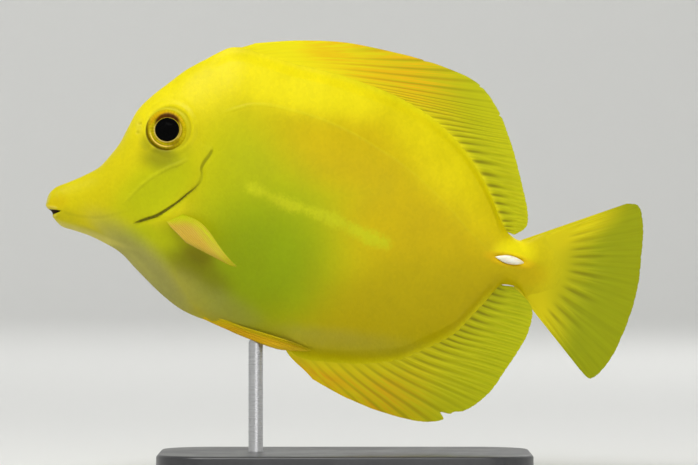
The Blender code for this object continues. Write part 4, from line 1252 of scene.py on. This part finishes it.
class TangSkinSettings(bpy.types.PropertyGroup):
    """Colours of the skin, as they are seen."""
    yellow: colour_setting("Yellow", "Main colour of the skin", (0.83, 0.775, 0.02))
    # Painted light on the forehead and back, as if lit from above, and by the fin roots and on the
    # tail stem
    bright: colour_setting("Bright Yellow", "Forehead and back", (0.92, 0.86, 0.03))
    golden: colour_setting("Golden", "Middle of the flank", (0.81, 0.71, 0.0))
    olive: colour_setting("Olive", "Lower rear flank", (0.76, 0.68, 0.0))
    green: colour_setting("Green", "Front of the lower flank", (0.58, 0.66, 0.01))
    # Painted shade under the eye, beside the throat and below the mouth's corner
    dusk: colour_setting("Dusk", "Under the eye and beside the throat", (0.50, 0.50, 0.06))
    # Also painted light on the throat, where it faces down
    lime: colour_setting("Lime", "Middle of the front flank and cheek", (0.72, 0.74, 0.01))
    pale: colour_setting("Pale", "Throat and belly", (0.62, 0.605, 0.31))
    band: colour_setting("Pale Band", "Ragged band on the middle of the flank", (0.80, 0.81, 0.08))
    line: colour_setting("Raised Line", "Lateral line and cheek ridge", (0.88, 0.86, 0.15))
    # Painted shade in the gill opening, the nostrils, the jaw crease and the fold round the eye
    crease_shade: colour_setting("Crease", "Gill opening, nostrils and folds", (0.36, 0.34, 0.03))
    orbit: colour_setting("Orbit", "Hollow round the eye", (0.70, 0.66, 0.0))
    # Painted shade in the crease where the skin meets the eye
    lid: colour_setting("Lid", "Edge of the skin at the eye", (0.36, 0.30, 0.02))
    # Painted light where the skin climbs the fins' roots, against the shade of the fold
    keel: colour_setting("Fin Roots", "Skin where it climbs the upright fins", (0.87, 0.83, 0.03))
    # Ivory of the lower jaw, also used as painted light on the throat's edge and as a painted rim
    # light on the upper lip
    ivory: colour_setting("Ivory", "Lower jaw", (0.80, 0.76, 0.36))
    shadow: colour_setting("Shaded", "Skin behind the pectoral fin", (0.50, 0.465, 0.03))
    fan: colour_setting("Tail", "Where the skin thins out over the tail fin", (0.57, 0.61, 0.01))
    lip: colour_setting("Lip", "Lips", (0.86, 0.79, 0.40))
    # Painted shade: the dark of the open mouth, on the skin folded in between the lips
    mouth: colour_setting("Mouth", "Inside of the mouth", (0.16, 0.10, 0.04))
    spine_glow: colour_setting("Spine Groove", "Skin round the tail spine", (0.98, 0.70, 0.05))


class TangFinSettings(bpy.types.PropertyGroup):
    """Colours and thickness of the fins."""
    root: colour_setting("Root", "Fin colour near the body", (0.86, 0.80, 0.02))
    # The front of the dorsal fin's own yellow, made lighter as painted light to match the back lit
    # from above
    crest: colour_setting("Dorsal Root", "Front of the dorsal fin", (0.94, 0.88, 0.03))
    base: colour_setting("Fleshy Base", "Base of the pectoral fins", (0.77, 0.79, 0.02))
    dorsal_edge: colour_setting("Dorsal Edge", "Rear of the dorsal fin", (0.71, 0.72, 0.01))
    dorsal_front: colour_setting("Dorsal Front", "Streaks of the dorsal fin", (0.91, 0.70, 0.02))
    anal_edge: colour_setting("Anal Edge", "Rear of the anal fin", (0.66, 0.69, 0.01))
    anal_front: colour_setting("Anal Front", "Streaks of the anal fin", (0.84, 0.64, 0.01))
    tail_root: colour_setting("Tail Root", "Fleshy base of the tail fin", (0.83, 0.775, 0.02))
    tail_edge: colour_setting("Tail Edge", "Outer half of the tail fin", (0.56, 0.60, 0.01))
    # Painted shade in the gaps between the rays, and towards the tips of the paired fins
    gap: colour_setting("Gaps", "Membrane between the rays near the root", (0.47, 0.45, 0.01))
    ray: colour_setting("Rays", "Crests of the rays", (0.85, 0.83, 0.10))
    peach: colour_setting("Peach", "Pectoral fins", (0.79, 0.64, 0.25))
    gold: colour_setting("Gold", "Pelvic fins", (0.86, 0.73, 0.04))
    membrane: length_setting("Membrane", "Half thickness of the membrane", 0.00013, 0.00005, 0.0005)


class TangEyeSettings(bpy.types.PropertyGroup):
    """Colours of the eyes and the tail spines."""
    pupil: colour_setting("Pupil", "Pupil", (0.01, 0.01, 0.01))
    pupil_ring: colour_setting("Pupil Ring", "Thin ring round the pupil", (0.88, 0.76, 0.50))
    iris: colour_setting("Iris", "Main colour of the iris", (0.76, 0.70, 0.04))
    iris_dark: colour_setting("Iris Shade", "Darker parts of the iris", (0.64, 0.55, 0.02))
    iris_orange: colour_setting("Iris Orange", "Upper rim of the iris", (0.84, 0.61, 0.05))
    # Brown low in the iris and at its edge, and the painted shadow of the lid's rim above the pupil
    iris_brown_and_shadow: colour_setting("Iris Brown", "Above the pupil and at the edge", (0.28, 0.12, 0.01))
    iris_rim: colour_setting("Iris Rim", "Rear rim of the iris", (0.80, 0.73, 0.04))
    # Painted highlights on the iris
    iris_painted_highlight: colour_setting("Iris Gold", "Bright parts of the iris", (0.98, 0.84, 0.36))
    bone: colour_setting("Spine", "Tail spines", (0.97, 0.96, 0.90))
    bone_stain: colour_setting("Spine Stain", "Stains on the tail spines", (0.88, 0.82, 0.55))


class TangStandSettings(bpy.types.PropertyGroup):
    """Finish of the display stand."""
    base: colour_setting("Base", "Lacquer of the base", (0.20, 0.20, 0.21))


class TangStageSettings(bpy.types.PropertyGroup):
    """Floor, lights and camera."""
    paper: colour_setting("Paper", "Floor and backdrop", (0.90, 0.90, 0.89))
    distance: length_setting("Camera Distance", "From the middle plane of the fish", 1.2, 0.2, 1.7)
    key_power: power_setting("Key Light", "Power of the large light above", 7.1)
    fill_power: power_setting("Fill Light", "Power of the light beside the camera", 0.9)
    back_power: power_setting("Back Light", "Power of the light on the far side", 5.0)
    wall_power: power_setting("Wall Lights", "Power of each light on the backdrop", 16.0)


# Operators

class TANG_OT_skin(bpy.types.Operator):
    """Make one skin over the head, jaws, gill covers, trunk and tail stem"""
    bl_idname = "tang.skin"
    bl_label = "Skin"

    def execute(self, context):
        points = skin_grid()
        x, _, z = np.moveaxis(points, 2, 0)
        raised, wall, masks = skin_relief(x, z)
        masks.update(skin_shades(x, z))
        edge = np.abs(np.linspace(-1.0, 1.0, RING_STEPS + 1))
        raised = raised * (1.0 - smooth_step(edge, 0.93, 1.0))
        opened, swell, pull = open_mouth(points)
        raised = raised * (1.0 - pull) + swell
        opened = opened + grid_normals(points) * raised[..., None]
        opened[..., 1] = np.maximum(opened[..., 1] - wall, 0.02)
        opened[:, [0, -1], 1] = 0.0
        above, below = sheaths(x)
        # Where the painted light over the fins' roots lies
        over_back = bump(back_at(x) + above - z, 0.0, KEEL_DEPTH) * above / SHEATH
        under_belly = bump(z - belly_at(x) + below, 0.0, KEEL_DEPTH) * below / SHEATH
        masks["keel"] = over_back * smooth_step(x, *KEEL_START) + under_belly
        masks["lip"] = swell / LIP_SWELL
        masks["mouth"] = pull
        left = opened * np.array((1.0, -1.0, 1.0))
        ring = np.concatenate((left, opened[:, -2:0:-1]), axis=1)
        joined = {
            key: np.concatenate((value, value[:, -2:0:-1]), axis=1) for key, value in masks.items()
        }
        thing = ring_object("skin", *np.moveaxis(ring, 2, 0), "skin_yellow", joined)
        thing.data.materials.append(skin_material(context.scene.tang_skin))
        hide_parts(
            "head", "upper_jaw", "lower_jaw", "gill_cover_left", "gill_cover_right",
            "trunk", "tail_stem",
        )
        return {"FINISHED"}


class TANG_OT_eyes(bpy.types.Operator):
    """Make the two eyes, each with a sunken pupil and a dished iris"""
    bl_idname = "tang.eyes"
    bl_label = "Eyes"

    def execute(self, context):
        material = eye_material(context.scene.tang_eye)
        for label, side in SIDES:
            thing = self.ball("eye_ball_" + label, side)
            thing.data.materials.append(material)
            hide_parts("eye_" + label)
        return {"FINISHED"}

    def ball(self, name, side):
        """An ellipsoid, its depth the cosine of the angle from its outer pole, plus the
        slope of the head's side.

        Near the outer pole the pupil is nearly flat, a fine ring stands round it
        and the iris is dished.
        """
        angle = np.concatenate((
            np.linspace(0.0, 0.42 * math.pi, 72)[1:], np.linspace(0.45 * math.pi, math.pi, 22)[:-1],
        ))[:, None]
        turn = full_turn(160)
        share = np.sin(angle) / math.sqrt(1.0 - (EYE_INSET / EYE_BALL[1]) ** 2)
        dish = 0.05 * bump(share, 0.67, 0.03) - 0.16 * bump(share, 0.82, 0.10)
        dish = dish - EYE_DISH * (1.0 - smooth_step(share, 0.35, 0.68))
        x, z = EYE_CENTRE
        inset = half_width_at(x, z) - EYE_INSET
        slope_x = 0.5 * (half_width_at(x + 1.0, z) - half_width_at(x - 1.0, z))
        slope_z = 0.5 * (half_width_at(x, z + 1.0) - half_width_at(x, z - 1.0))
        run = EYE_BALL[0] * np.sin(angle) * np.cos(turn)
        climb = EYE_BALL[2] * np.sin(angle) * np.sin(turn)
        outer = angle < 0.5 * math.pi
        out = inset + EYE_BALL[1] * np.cos(angle) + np.where(outer, dish, 0.0)
        out = out + slope_x * run + slope_z * climb
        poles = (
            (x, side * (inset + EYE_BALL[1] - EYE_DISH), z), (x, side * (inset - EYE_BALL[1]), z),
        )
        rings = np.stack((x + run, side * out, z + climb), axis=2)
        rows, count = out.shape
        faces = tube_faces(rows, count, closed_ends=False)
        first = np.arange(count)
        for pole, ring in ((rows * count, first[::-1]), (rows * count + 1, first + out.size - count)):
            faces += np.stack((np.full(count, pole), ring, np.roll(ring, -1)), 1).tolist()
        values = {
            key: np.append(np.broadcast_to(value, out.shape), at_poles)
            for key, value, at_poles in (
                ("iris", np.where(outer, share, 2.0), (0.0, 2.0)),
                ("turn", np.abs(turn / (2.0 * math.pi) - 0.5), (0.0, 0.0)),
                ("upper", np.sin(turn), (0.0, 0.0)),
                ("front", -np.cos(turn), (0.0, 0.0)),
            )
        }
        vertices = np.concatenate((rings.reshape(-1, 3), poles))
        return make_object(name, vertices, faces, values)


class TANG_OT_tail_spines(bpy.types.Operator):
    """Make the white tail spines, folded into their grooves"""
    bl_idname = "tang.tail_spines"
    bl_label = "Tail Spines"

    def execute(self, context):
        material = bone_material(context.scene.tang_eye)
        for label, side in SIDES:
            thing = self.blade("spine_blade_" + label, side)
            thing.data.materials.append(material)
            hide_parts("tail_spine_" + label)
        return {"FINISHED"}

    def blade(self, name, side):
        """A lens-shaped blade: its height and depth are powers of the distance to its ends."""
        tilt = math.radians(SPINE_TILT)
        x, z = SPINE_CENTRE
        length, depth, height = 0.5 * np.array(SPINE_SIZE)
        along = np.sin(np.linspace(-0.5, 0.5, 60) * math.pi)[:, None]
        turn = full_turn(40)
        share = 0.03 + 0.97 * (1.0 - np.abs(along) ** 1.8) ** np.where(along > 0, 0.95, 0.75)
        forward = length * along
        up = height * share * np.abs(np.cos(turn)) ** 1.2 * np.sign(np.cos(turn))
        out = half_width_at(x, z) + SPINE_OUT + depth * share * np.sin(turn)
        return ring_object(
            name, x + up * math.sin(tilt) - forward * math.cos(tilt), side * out,
            z + up * math.cos(tilt) + forward * math.sin(tilt), "spine_white",
            {"base": np.clip(-along, 0.0, 1.0) + 0.0 * turn},
        )


class TANG_OT_upright_fins(bpy.types.Operator):
    """Make the dorsal and anal fins, with spines in front and branching rays behind"""
    bl_idname = "tang.upright_fins"
    bl_label = "Dorsal and Anal Fins"

    def execute(self, context):
        fins = context.scene.tang_fins
        for name, edge_at, outward, near_root, edge_colour, warm in (
            ("dorsal", back_at, 1.0, fins.crest, fins.dorsal_edge, fins.dorsal_front),
            ("anal", belly_at, -1.0, fins.root, fins.anal_edge, fins.anal_front),
        ):
            plan = FINS[name]
            middle, ridge, masks = fin_sheet(
                plan, upright_root(plan["root"], edge_at, outward), flat_line(plan["edge"])
            )
            across = masks["across"]
            along = masks["along"]
            middle[..., 1] += plan["sway"] * np.sin(2.0 * math.pi * across) * along ** 2
            x = middle[..., 0]
            begins, full, ends, gone = plan["streaks"]
            place, start = plan["gaps"]
            shown = (0.2 + 0.8 * smooth_step(across, 0.12, 0.45)) * smooth_step(along, 0.0, 0.15)
            masks["rays"] = shown
            masks["warm"] = between(x, begins, full, ends, gone) * smooth_step(along, 0.1, 0.55)
            shade = smooth_step(x + 12.0 * along, full, plan["rear"])
            masks["shade"] = shade * smooth_step(along, start - 0.07, start + 0.2)
            # Painted shade in the gaps between the rays near the root, and along long streaks
            dark = 0.06 + 0.66 * smooth_step(across, place, place + 0.4)
            dark = dark * between(along, start, start + 0.12, start + 0.17, start + 0.55)
            long_gaps = between(x, full - 4.0, ends + 2.0, ends + 10.0, gone + 12.0)
            masks["dark"] = dark + 0.42 * long_gaps * smooth_step(along, 0.08, 0.3)
            half = membrane(along, plan["thickness"], fins.membrane / MM) + ridge * shown
            thing = fin_object("fin_" + name, middle, half, masks, direction=ACROSS)
            material = fin_material(name, near_root, edge_colour, warm, fins)
            thing.data.materials.append(material)
            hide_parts(name + "_fin")
        return {"FINISHED"}


class TANG_OT_tail_fin(bpy.types.Operator):
    """Make the tail fin, its rays spreading from the tail stem"""
    bl_idname = "tang.tail_fin"
    bl_label = "Tail Fin"

    def execute(self, context):
        fins = context.scene.tang_fins
        plan = FINS["tail"]
        middle, ridge, masks = fin_sheet(plan, flat_line(plan["root"]), flat_line(plan["edge"]))
        across = masks["across"]
        along = masks["along"]
        sway, turn, start = TAIL_SWAY
        middle[..., 1] += sway * np.sin(turn * across + start) * along ** 4
        x, _, z = np.moveaxis(middle, 2, 0)
        reach, _ = fan_place(x, z)
        outer = 1.0 - smooth_step(reach, *FAN_OUTER)
        shown = smooth_step(reach, *FAN_RAYS)
        lens = np.maximum(1.0 - ((2.0 * across - 1.0) / 0.84) ** 2, 0.0) ** 0.58
        flesh = FAN_FLESH[0] * bump(reach, *FAN_FLESH[1:]) * lens * smooth_step(reach, 10.0, 15.0)
        flesh = flesh * (0.88 + 0.15 * smooth_step(reach, 17.0, 22.0))
        edges = bump(across, 0.0, 0.05) + bump(across, 1.0, 0.05)
        ridge = ridge * (0.16 + 0.84 * outer) * (1.0 - 0.7 * edges) * shown
        plain = fins.membrane / MM * 1.3 * (1.0 - 0.5 * along)
        masks["crest"] = masks["crest"] * (0.35 + 0.65 * outer)
        masks["rays"] = shown * (0.5 + 0.5 * outer)
        masks["warm"] = 0.0
        masks["shade"] = fan_shade(x, z)
        inner = between(across, 0.08, 0.30, 0.80, 0.97) * (0.75 + 0.25 * np.sin(across * 41.0))
        # Painted shade in the gaps between the rays of the tail fin's inner part
        dark = 1.0 - smooth_step(reach + 1.5 * np.sin(across * 47.0), 24.5, 33.0)
        masks["dark"] = 0.66 * inner * smooth_step(reach, 21.5, 25.5) * dark
        half = plain + flesh + ridge
        thing = fin_object("fin_tail", middle, half, masks, direction=ACROSS)
        material = fin_material("tail", fins.tail_root, fins.tail_edge, fins.dorsal_front, fins)
        thing.data.materials.append(material)
        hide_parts("tail_fin")
        return {"FINISHED"}


class TANG_OT_paired_fins(bpy.types.Operator):
    """Make the pectoral and pelvic fins on both sides"""
    bl_idname = "tang.paired_fins"
    bl_label = "Paired Fins"

    def execute(self, context):
        fins = context.scene.tang_fins
        pair = (
            ("pectoral", fin_material("pectoral", fins.base, fins.peach, fins.base, fins)),
            ("pelvic", fin_material("pelvic", fins.gold, fins.anal_front, fins.root, fins)),
        )
        for label, side in SIDES:
            for name, material in pair:
                middle, half, masks = self.shape(FINS[name], fins.membrane / MM)
                thing = fin_object(
                    "fin_%s_%s" % (name, label), middle, half, masks, side
                )
                thing.data.materials.append(material)
                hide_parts("%s_fin_%s" % (name, label))
        return {"FINISHED"}

    def shape(self, plan, thickness):
        """The middle surface, half thickness and masks of a fin on the right side."""
        middle, ridge, masks = fin_sheet(
            plan, flank_line(plan["root"]), lambda across: smooth_line(plan["edge"], across)
        )
        along = masks["along"]
        tips = smooth_step(along, 0.7, 1.0)
        masks["rays"] = 0.6 * smooth_step(along, 0.12, 0.45)
        masks["warm"] = 1.0 - smooth_step(masks["across"], 0.18, 0.55)
        masks["shade"] = smooth_step(along, 0.10, 0.40)
        masks["gap"] = np.maximum(masks["gap"], tips)
        # Painted shade in the gaps, darker towards the tips
        masks["dark"] = 0.22 * smooth_step(along, 0.1, 0.3) + 0.25 * tips
        return middle, membrane(along, plan["thickness"], thickness) + ridge, masks


class TANG_OT_stand(bpy.types.Operator):
    """Make the base with its softened edges and the rod up to the belly"""
    bl_idname = "tang.stand"
    bl_label = "Stand"

    def execute(self, context):
        base = self.base()
        base.data.materials.append(base_material(context.scene.tang_stand.base))
        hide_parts("stand_base")
        rod = self.rod()
        rod.data.materials.append(steel_material())
        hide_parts("stand_rod")
        return {"FINISHED"}

    def base(self):
        """A rounded plate: its outline moves in and up round a quarter circle at each edge."""
        length, width, height = BASE_SIZE
        quarter = np.linspace(0.0, 0.5 * math.pi, 20)
        corner = np.concatenate([quarter + number * 0.5 * math.pi for number in range(4)])
        way = np.repeat(((1.0, 1.0), (-1.0, 1.0), (-1.0, -1.0), (1.0, -1.0)), 20, axis=0)
        sweep = np.linspace(0.0, 0.5 * math.pi, 7)
        low, top = BASE_EDGES
        inset = np.concatenate((
            [BASE_CORNER], low * (1.0 - np.sin(sweep)), top * (1.0 - np.cos(sweep)),
            [3.0, BASE_CORNER],
        ))
        level = np.concatenate((
            [0.0], low * (1.0 - np.cos(sweep)), height - top * (1.0 - np.sin(sweep)),
            [height, height],
        ))
        reach = BASE_CORNER - inset[:, None]
        x = way[:, 0] * (0.5 * length - BASE_CORNER) + reach * np.cos(corner)
        y = way[:, 1] * (0.5 * width - BASE_CORNER) + reach * np.sin(corner)
        return ring_object("base_plate", x, y, level[:, None], "stand_base", sharp=40)

    def rod(self):
        """A turned bar: radius along its height, tapered to a pin where it meets the belly."""
        foot = BASE_SIZE[2]
        pin = belly_at(ROD_X)
        level, share = np.array((
            (foot - 3.0, 1.0), (foot - 0.2, 1.0), (foot, 1.0), (foot + 0.25, 1.0),
            (foot + 0.4, 0.97), (pin - 2.6, 0.97), (pin - 2.2, 0.95), (pin - 0.4, 0.55),
            (pin + ROD_IN_BELLY, 0.45),
        )).T[..., None]
        turn = full_turn(72)
        radius = ROD_RADIUS * share
        return ring_object(
            "rod", ROD_X + radius * np.cos(turn), radius * np.sin(turn), level, "stand_rod",
            sharp=40,
        )


class TANG_OT_stage(bpy.types.Operator):
    """Make the floor and backdrop, the lights and the camera"""
    bl_idname = "tang.stage"
    bl_label = "Stage"

    def execute(self, context):
        stage = context.scene.tang_stage
        self.backdrop(stage)
        self.lights(context.scene, stage)
        self.camera(context.scene, stage)
        return {"FINISHED"}

    def backdrop(self, stage):
        """A floor that curves up into a wall all round: a wide bowl."""
        sweep = np.linspace(0.0, 0.5 * math.pi, 12)
        wall = FLOOR_RADIUS + WALL_CURVE
        radius = np.concatenate((
            [1e-4, 1.0], FLOOR_RADIUS + WALL_CURVE * np.sin(sweep), [wall],
        ))[:, None]
        height = np.concatenate(([0.0, 0.0], WALL_CURVE * (1.0 - np.cos(sweep)), [WALL_HEIGHT]))
        turn = full_turn(96)
        x = radius * np.cos(turn)
        points = np.stack(np.broadcast_arrays(x, radius * np.sin(turn), height[:, None]), axis=2)
        faces = tube_faces(*x.shape, closed_ends=False)
        faces.append(list(range(x.shape[1])))
        mesh = bpy.data.meshes.new("studio_floor")
        mesh.from_pydata(points.reshape(-1, 3), [], faces)
        mesh.polygons.foreach_set("use_smooth", np.ones(len(mesh.polygons), bool))
        floor = bpy.data.objects.new("studio_floor", mesh)
        bpy.context.scene.collection.objects.link(floor)
        floor.data.materials.append(paper_material(stage.paper))

    def lights(self, scene, stage):
        """A large soft light above and in front, a weaker one beside the camera, one
        for the far side, and lights all round that shine outward on the wall.
        """
        lamps = [
            (name + "_light", getattr(stage, name + "_power"), size, place, aim)
            for name, (size, place, aim) in LAMPS.items()
        ]
        for number in range(WALL_LIGHTS):
            turn = 2.0 * math.pi * (number + 0.25) / WALL_LIGHTS
            place, aim = [
                (radius * math.cos(turn), radius * math.sin(turn), height)
                for radius, height in WALL_LIGHT_LINE
            ]
            lamps.append(("wall_light_%d" % number, stage.wall_power, WALL_LIGHT_SIZE, place, aim))
        for name, watts, size, place, aim in lamps:
            lamp = bpy.data.lights.new(name, "AREA")
            lamp.energy = watts
            lamp.shape = "DISK"
            lamp.size = size
            thing = bpy.data.objects.new(name, lamp)
            scene.collection.objects.link(thing)
            thing.visible_camera = False
            thing.location = place
            way_x, way_y, way_z = np.subtract(aim, place)
            thing.rotation_mode = "XYZ"
            thing.rotation_euler = (
                math.atan2(math.hypot(way_x, way_y), -way_z), 0.0,
                math.atan2(way_y, way_x) - 0.5 * math.pi,
            )
        world = bpy.data.worlds.new("studio_air")
        scene.world = world
        world.use_nodes = True
        background = world.node_tree.nodes["Background"]
        background.inputs["Color"].default_value = (0.95, 0.97, 1.0, 1.0)
        background.inputs["Strength"].default_value = 0.26
        scene.view_settings.view_transform = "Standard"

    def camera(self, scene, stage):
        """A level camera whose picture covers the fish as the photograph does."""
        data = bpy.data.cameras.new("camera")
        thing = bpy.data.objects.new("camera", data)
        scene.collection.objects.link(thing)
        data.sensor_width = 36.0
        data.lens = data.sensor_width * stage.distance / (PICTURE_WIDTH * MM_PER_PIXEL * MM)
        data.clip_start = 0.01
        data.clip_end = 20.0
        thing.location = (CAMERA_X * MM, -stage.distance, CAMERA_Z * MM)
        thing.rotation_euler = (0.5 * math.pi, 0.0, 0.0)
        scene.camera = thing


class TANG_PT_panel(bpy.types.Panel):
    """The pieces of the model and their settings"""
    bl_idname = "TANG_PT_panel"
    bl_label = "Yellow Tang"
    bl_space_type = "VIEW_3D"
    bl_region_type = "UI"
    bl_category = "Tang"

    def draw(self, context):
        for group in ("tang_skin", "tang_fins", "tang_eye", "tang_stand", "tang_stage"):
            box = self.layout.box()
            settings = getattr(context.scene, group)
            for name in settings.__annotations__:
                box.prop(settings, name)
        for operator in OPERATORS:
            self.layout.operator(operator.bl_idname)


OPERATORS = (
    TANG_OT_skin, TANG_OT_eyes, TANG_OT_tail_spines, TANG_OT_upright_fins, TANG_OT_tail_fin,
    TANG_OT_paired_fins, TANG_OT_stand, TANG_OT_stage,
)
SETTINGS = {
    "tang_skin": TangSkinSettings, "tang_fins": TangFinSettings, "tang_eye": TangEyeSettings,
    "tang_stand": TangStandSettings, "tang_stage": TangStageSettings,
}


def register():
    """Register the settings, the operators and the panel."""
    for name, group in SETTINGS.items():
        bpy.utils.register_class(group)
        setattr(bpy.types.Scene, name, bpy.props.PointerProperty(type=group))
    for operator in OPERATORS:
        bpy.utils.register_class(operator)
    bpy.utils.register_class(TANG_PT_panel)


def unregister():
    """Take them away again."""
    bpy.utils.unregister_class(TANG_PT_panel)
    for operator in reversed(OPERATORS):
        bpy.utils.unregister_class(operator)
    for name, group in SETTINGS.items():
        delattr(bpy.types.Scene, name)
        bpy.utils.unregister_class(group)


def main():
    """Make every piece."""
    register()
    bpy.ops.tang.skin()
    bpy.ops.tang.eyes()
    bpy.ops.tang.tail_spines()
    bpy.ops.tang.upright_fins()
    bpy.ops.tang.tail_fin()
    bpy.ops.tang.paired_fins()
    bpy.ops.tang.stand()
    bpy.ops.tang.stage()
    bpy.context.view_layer.update()


if __name__ == "__main__":
    main()
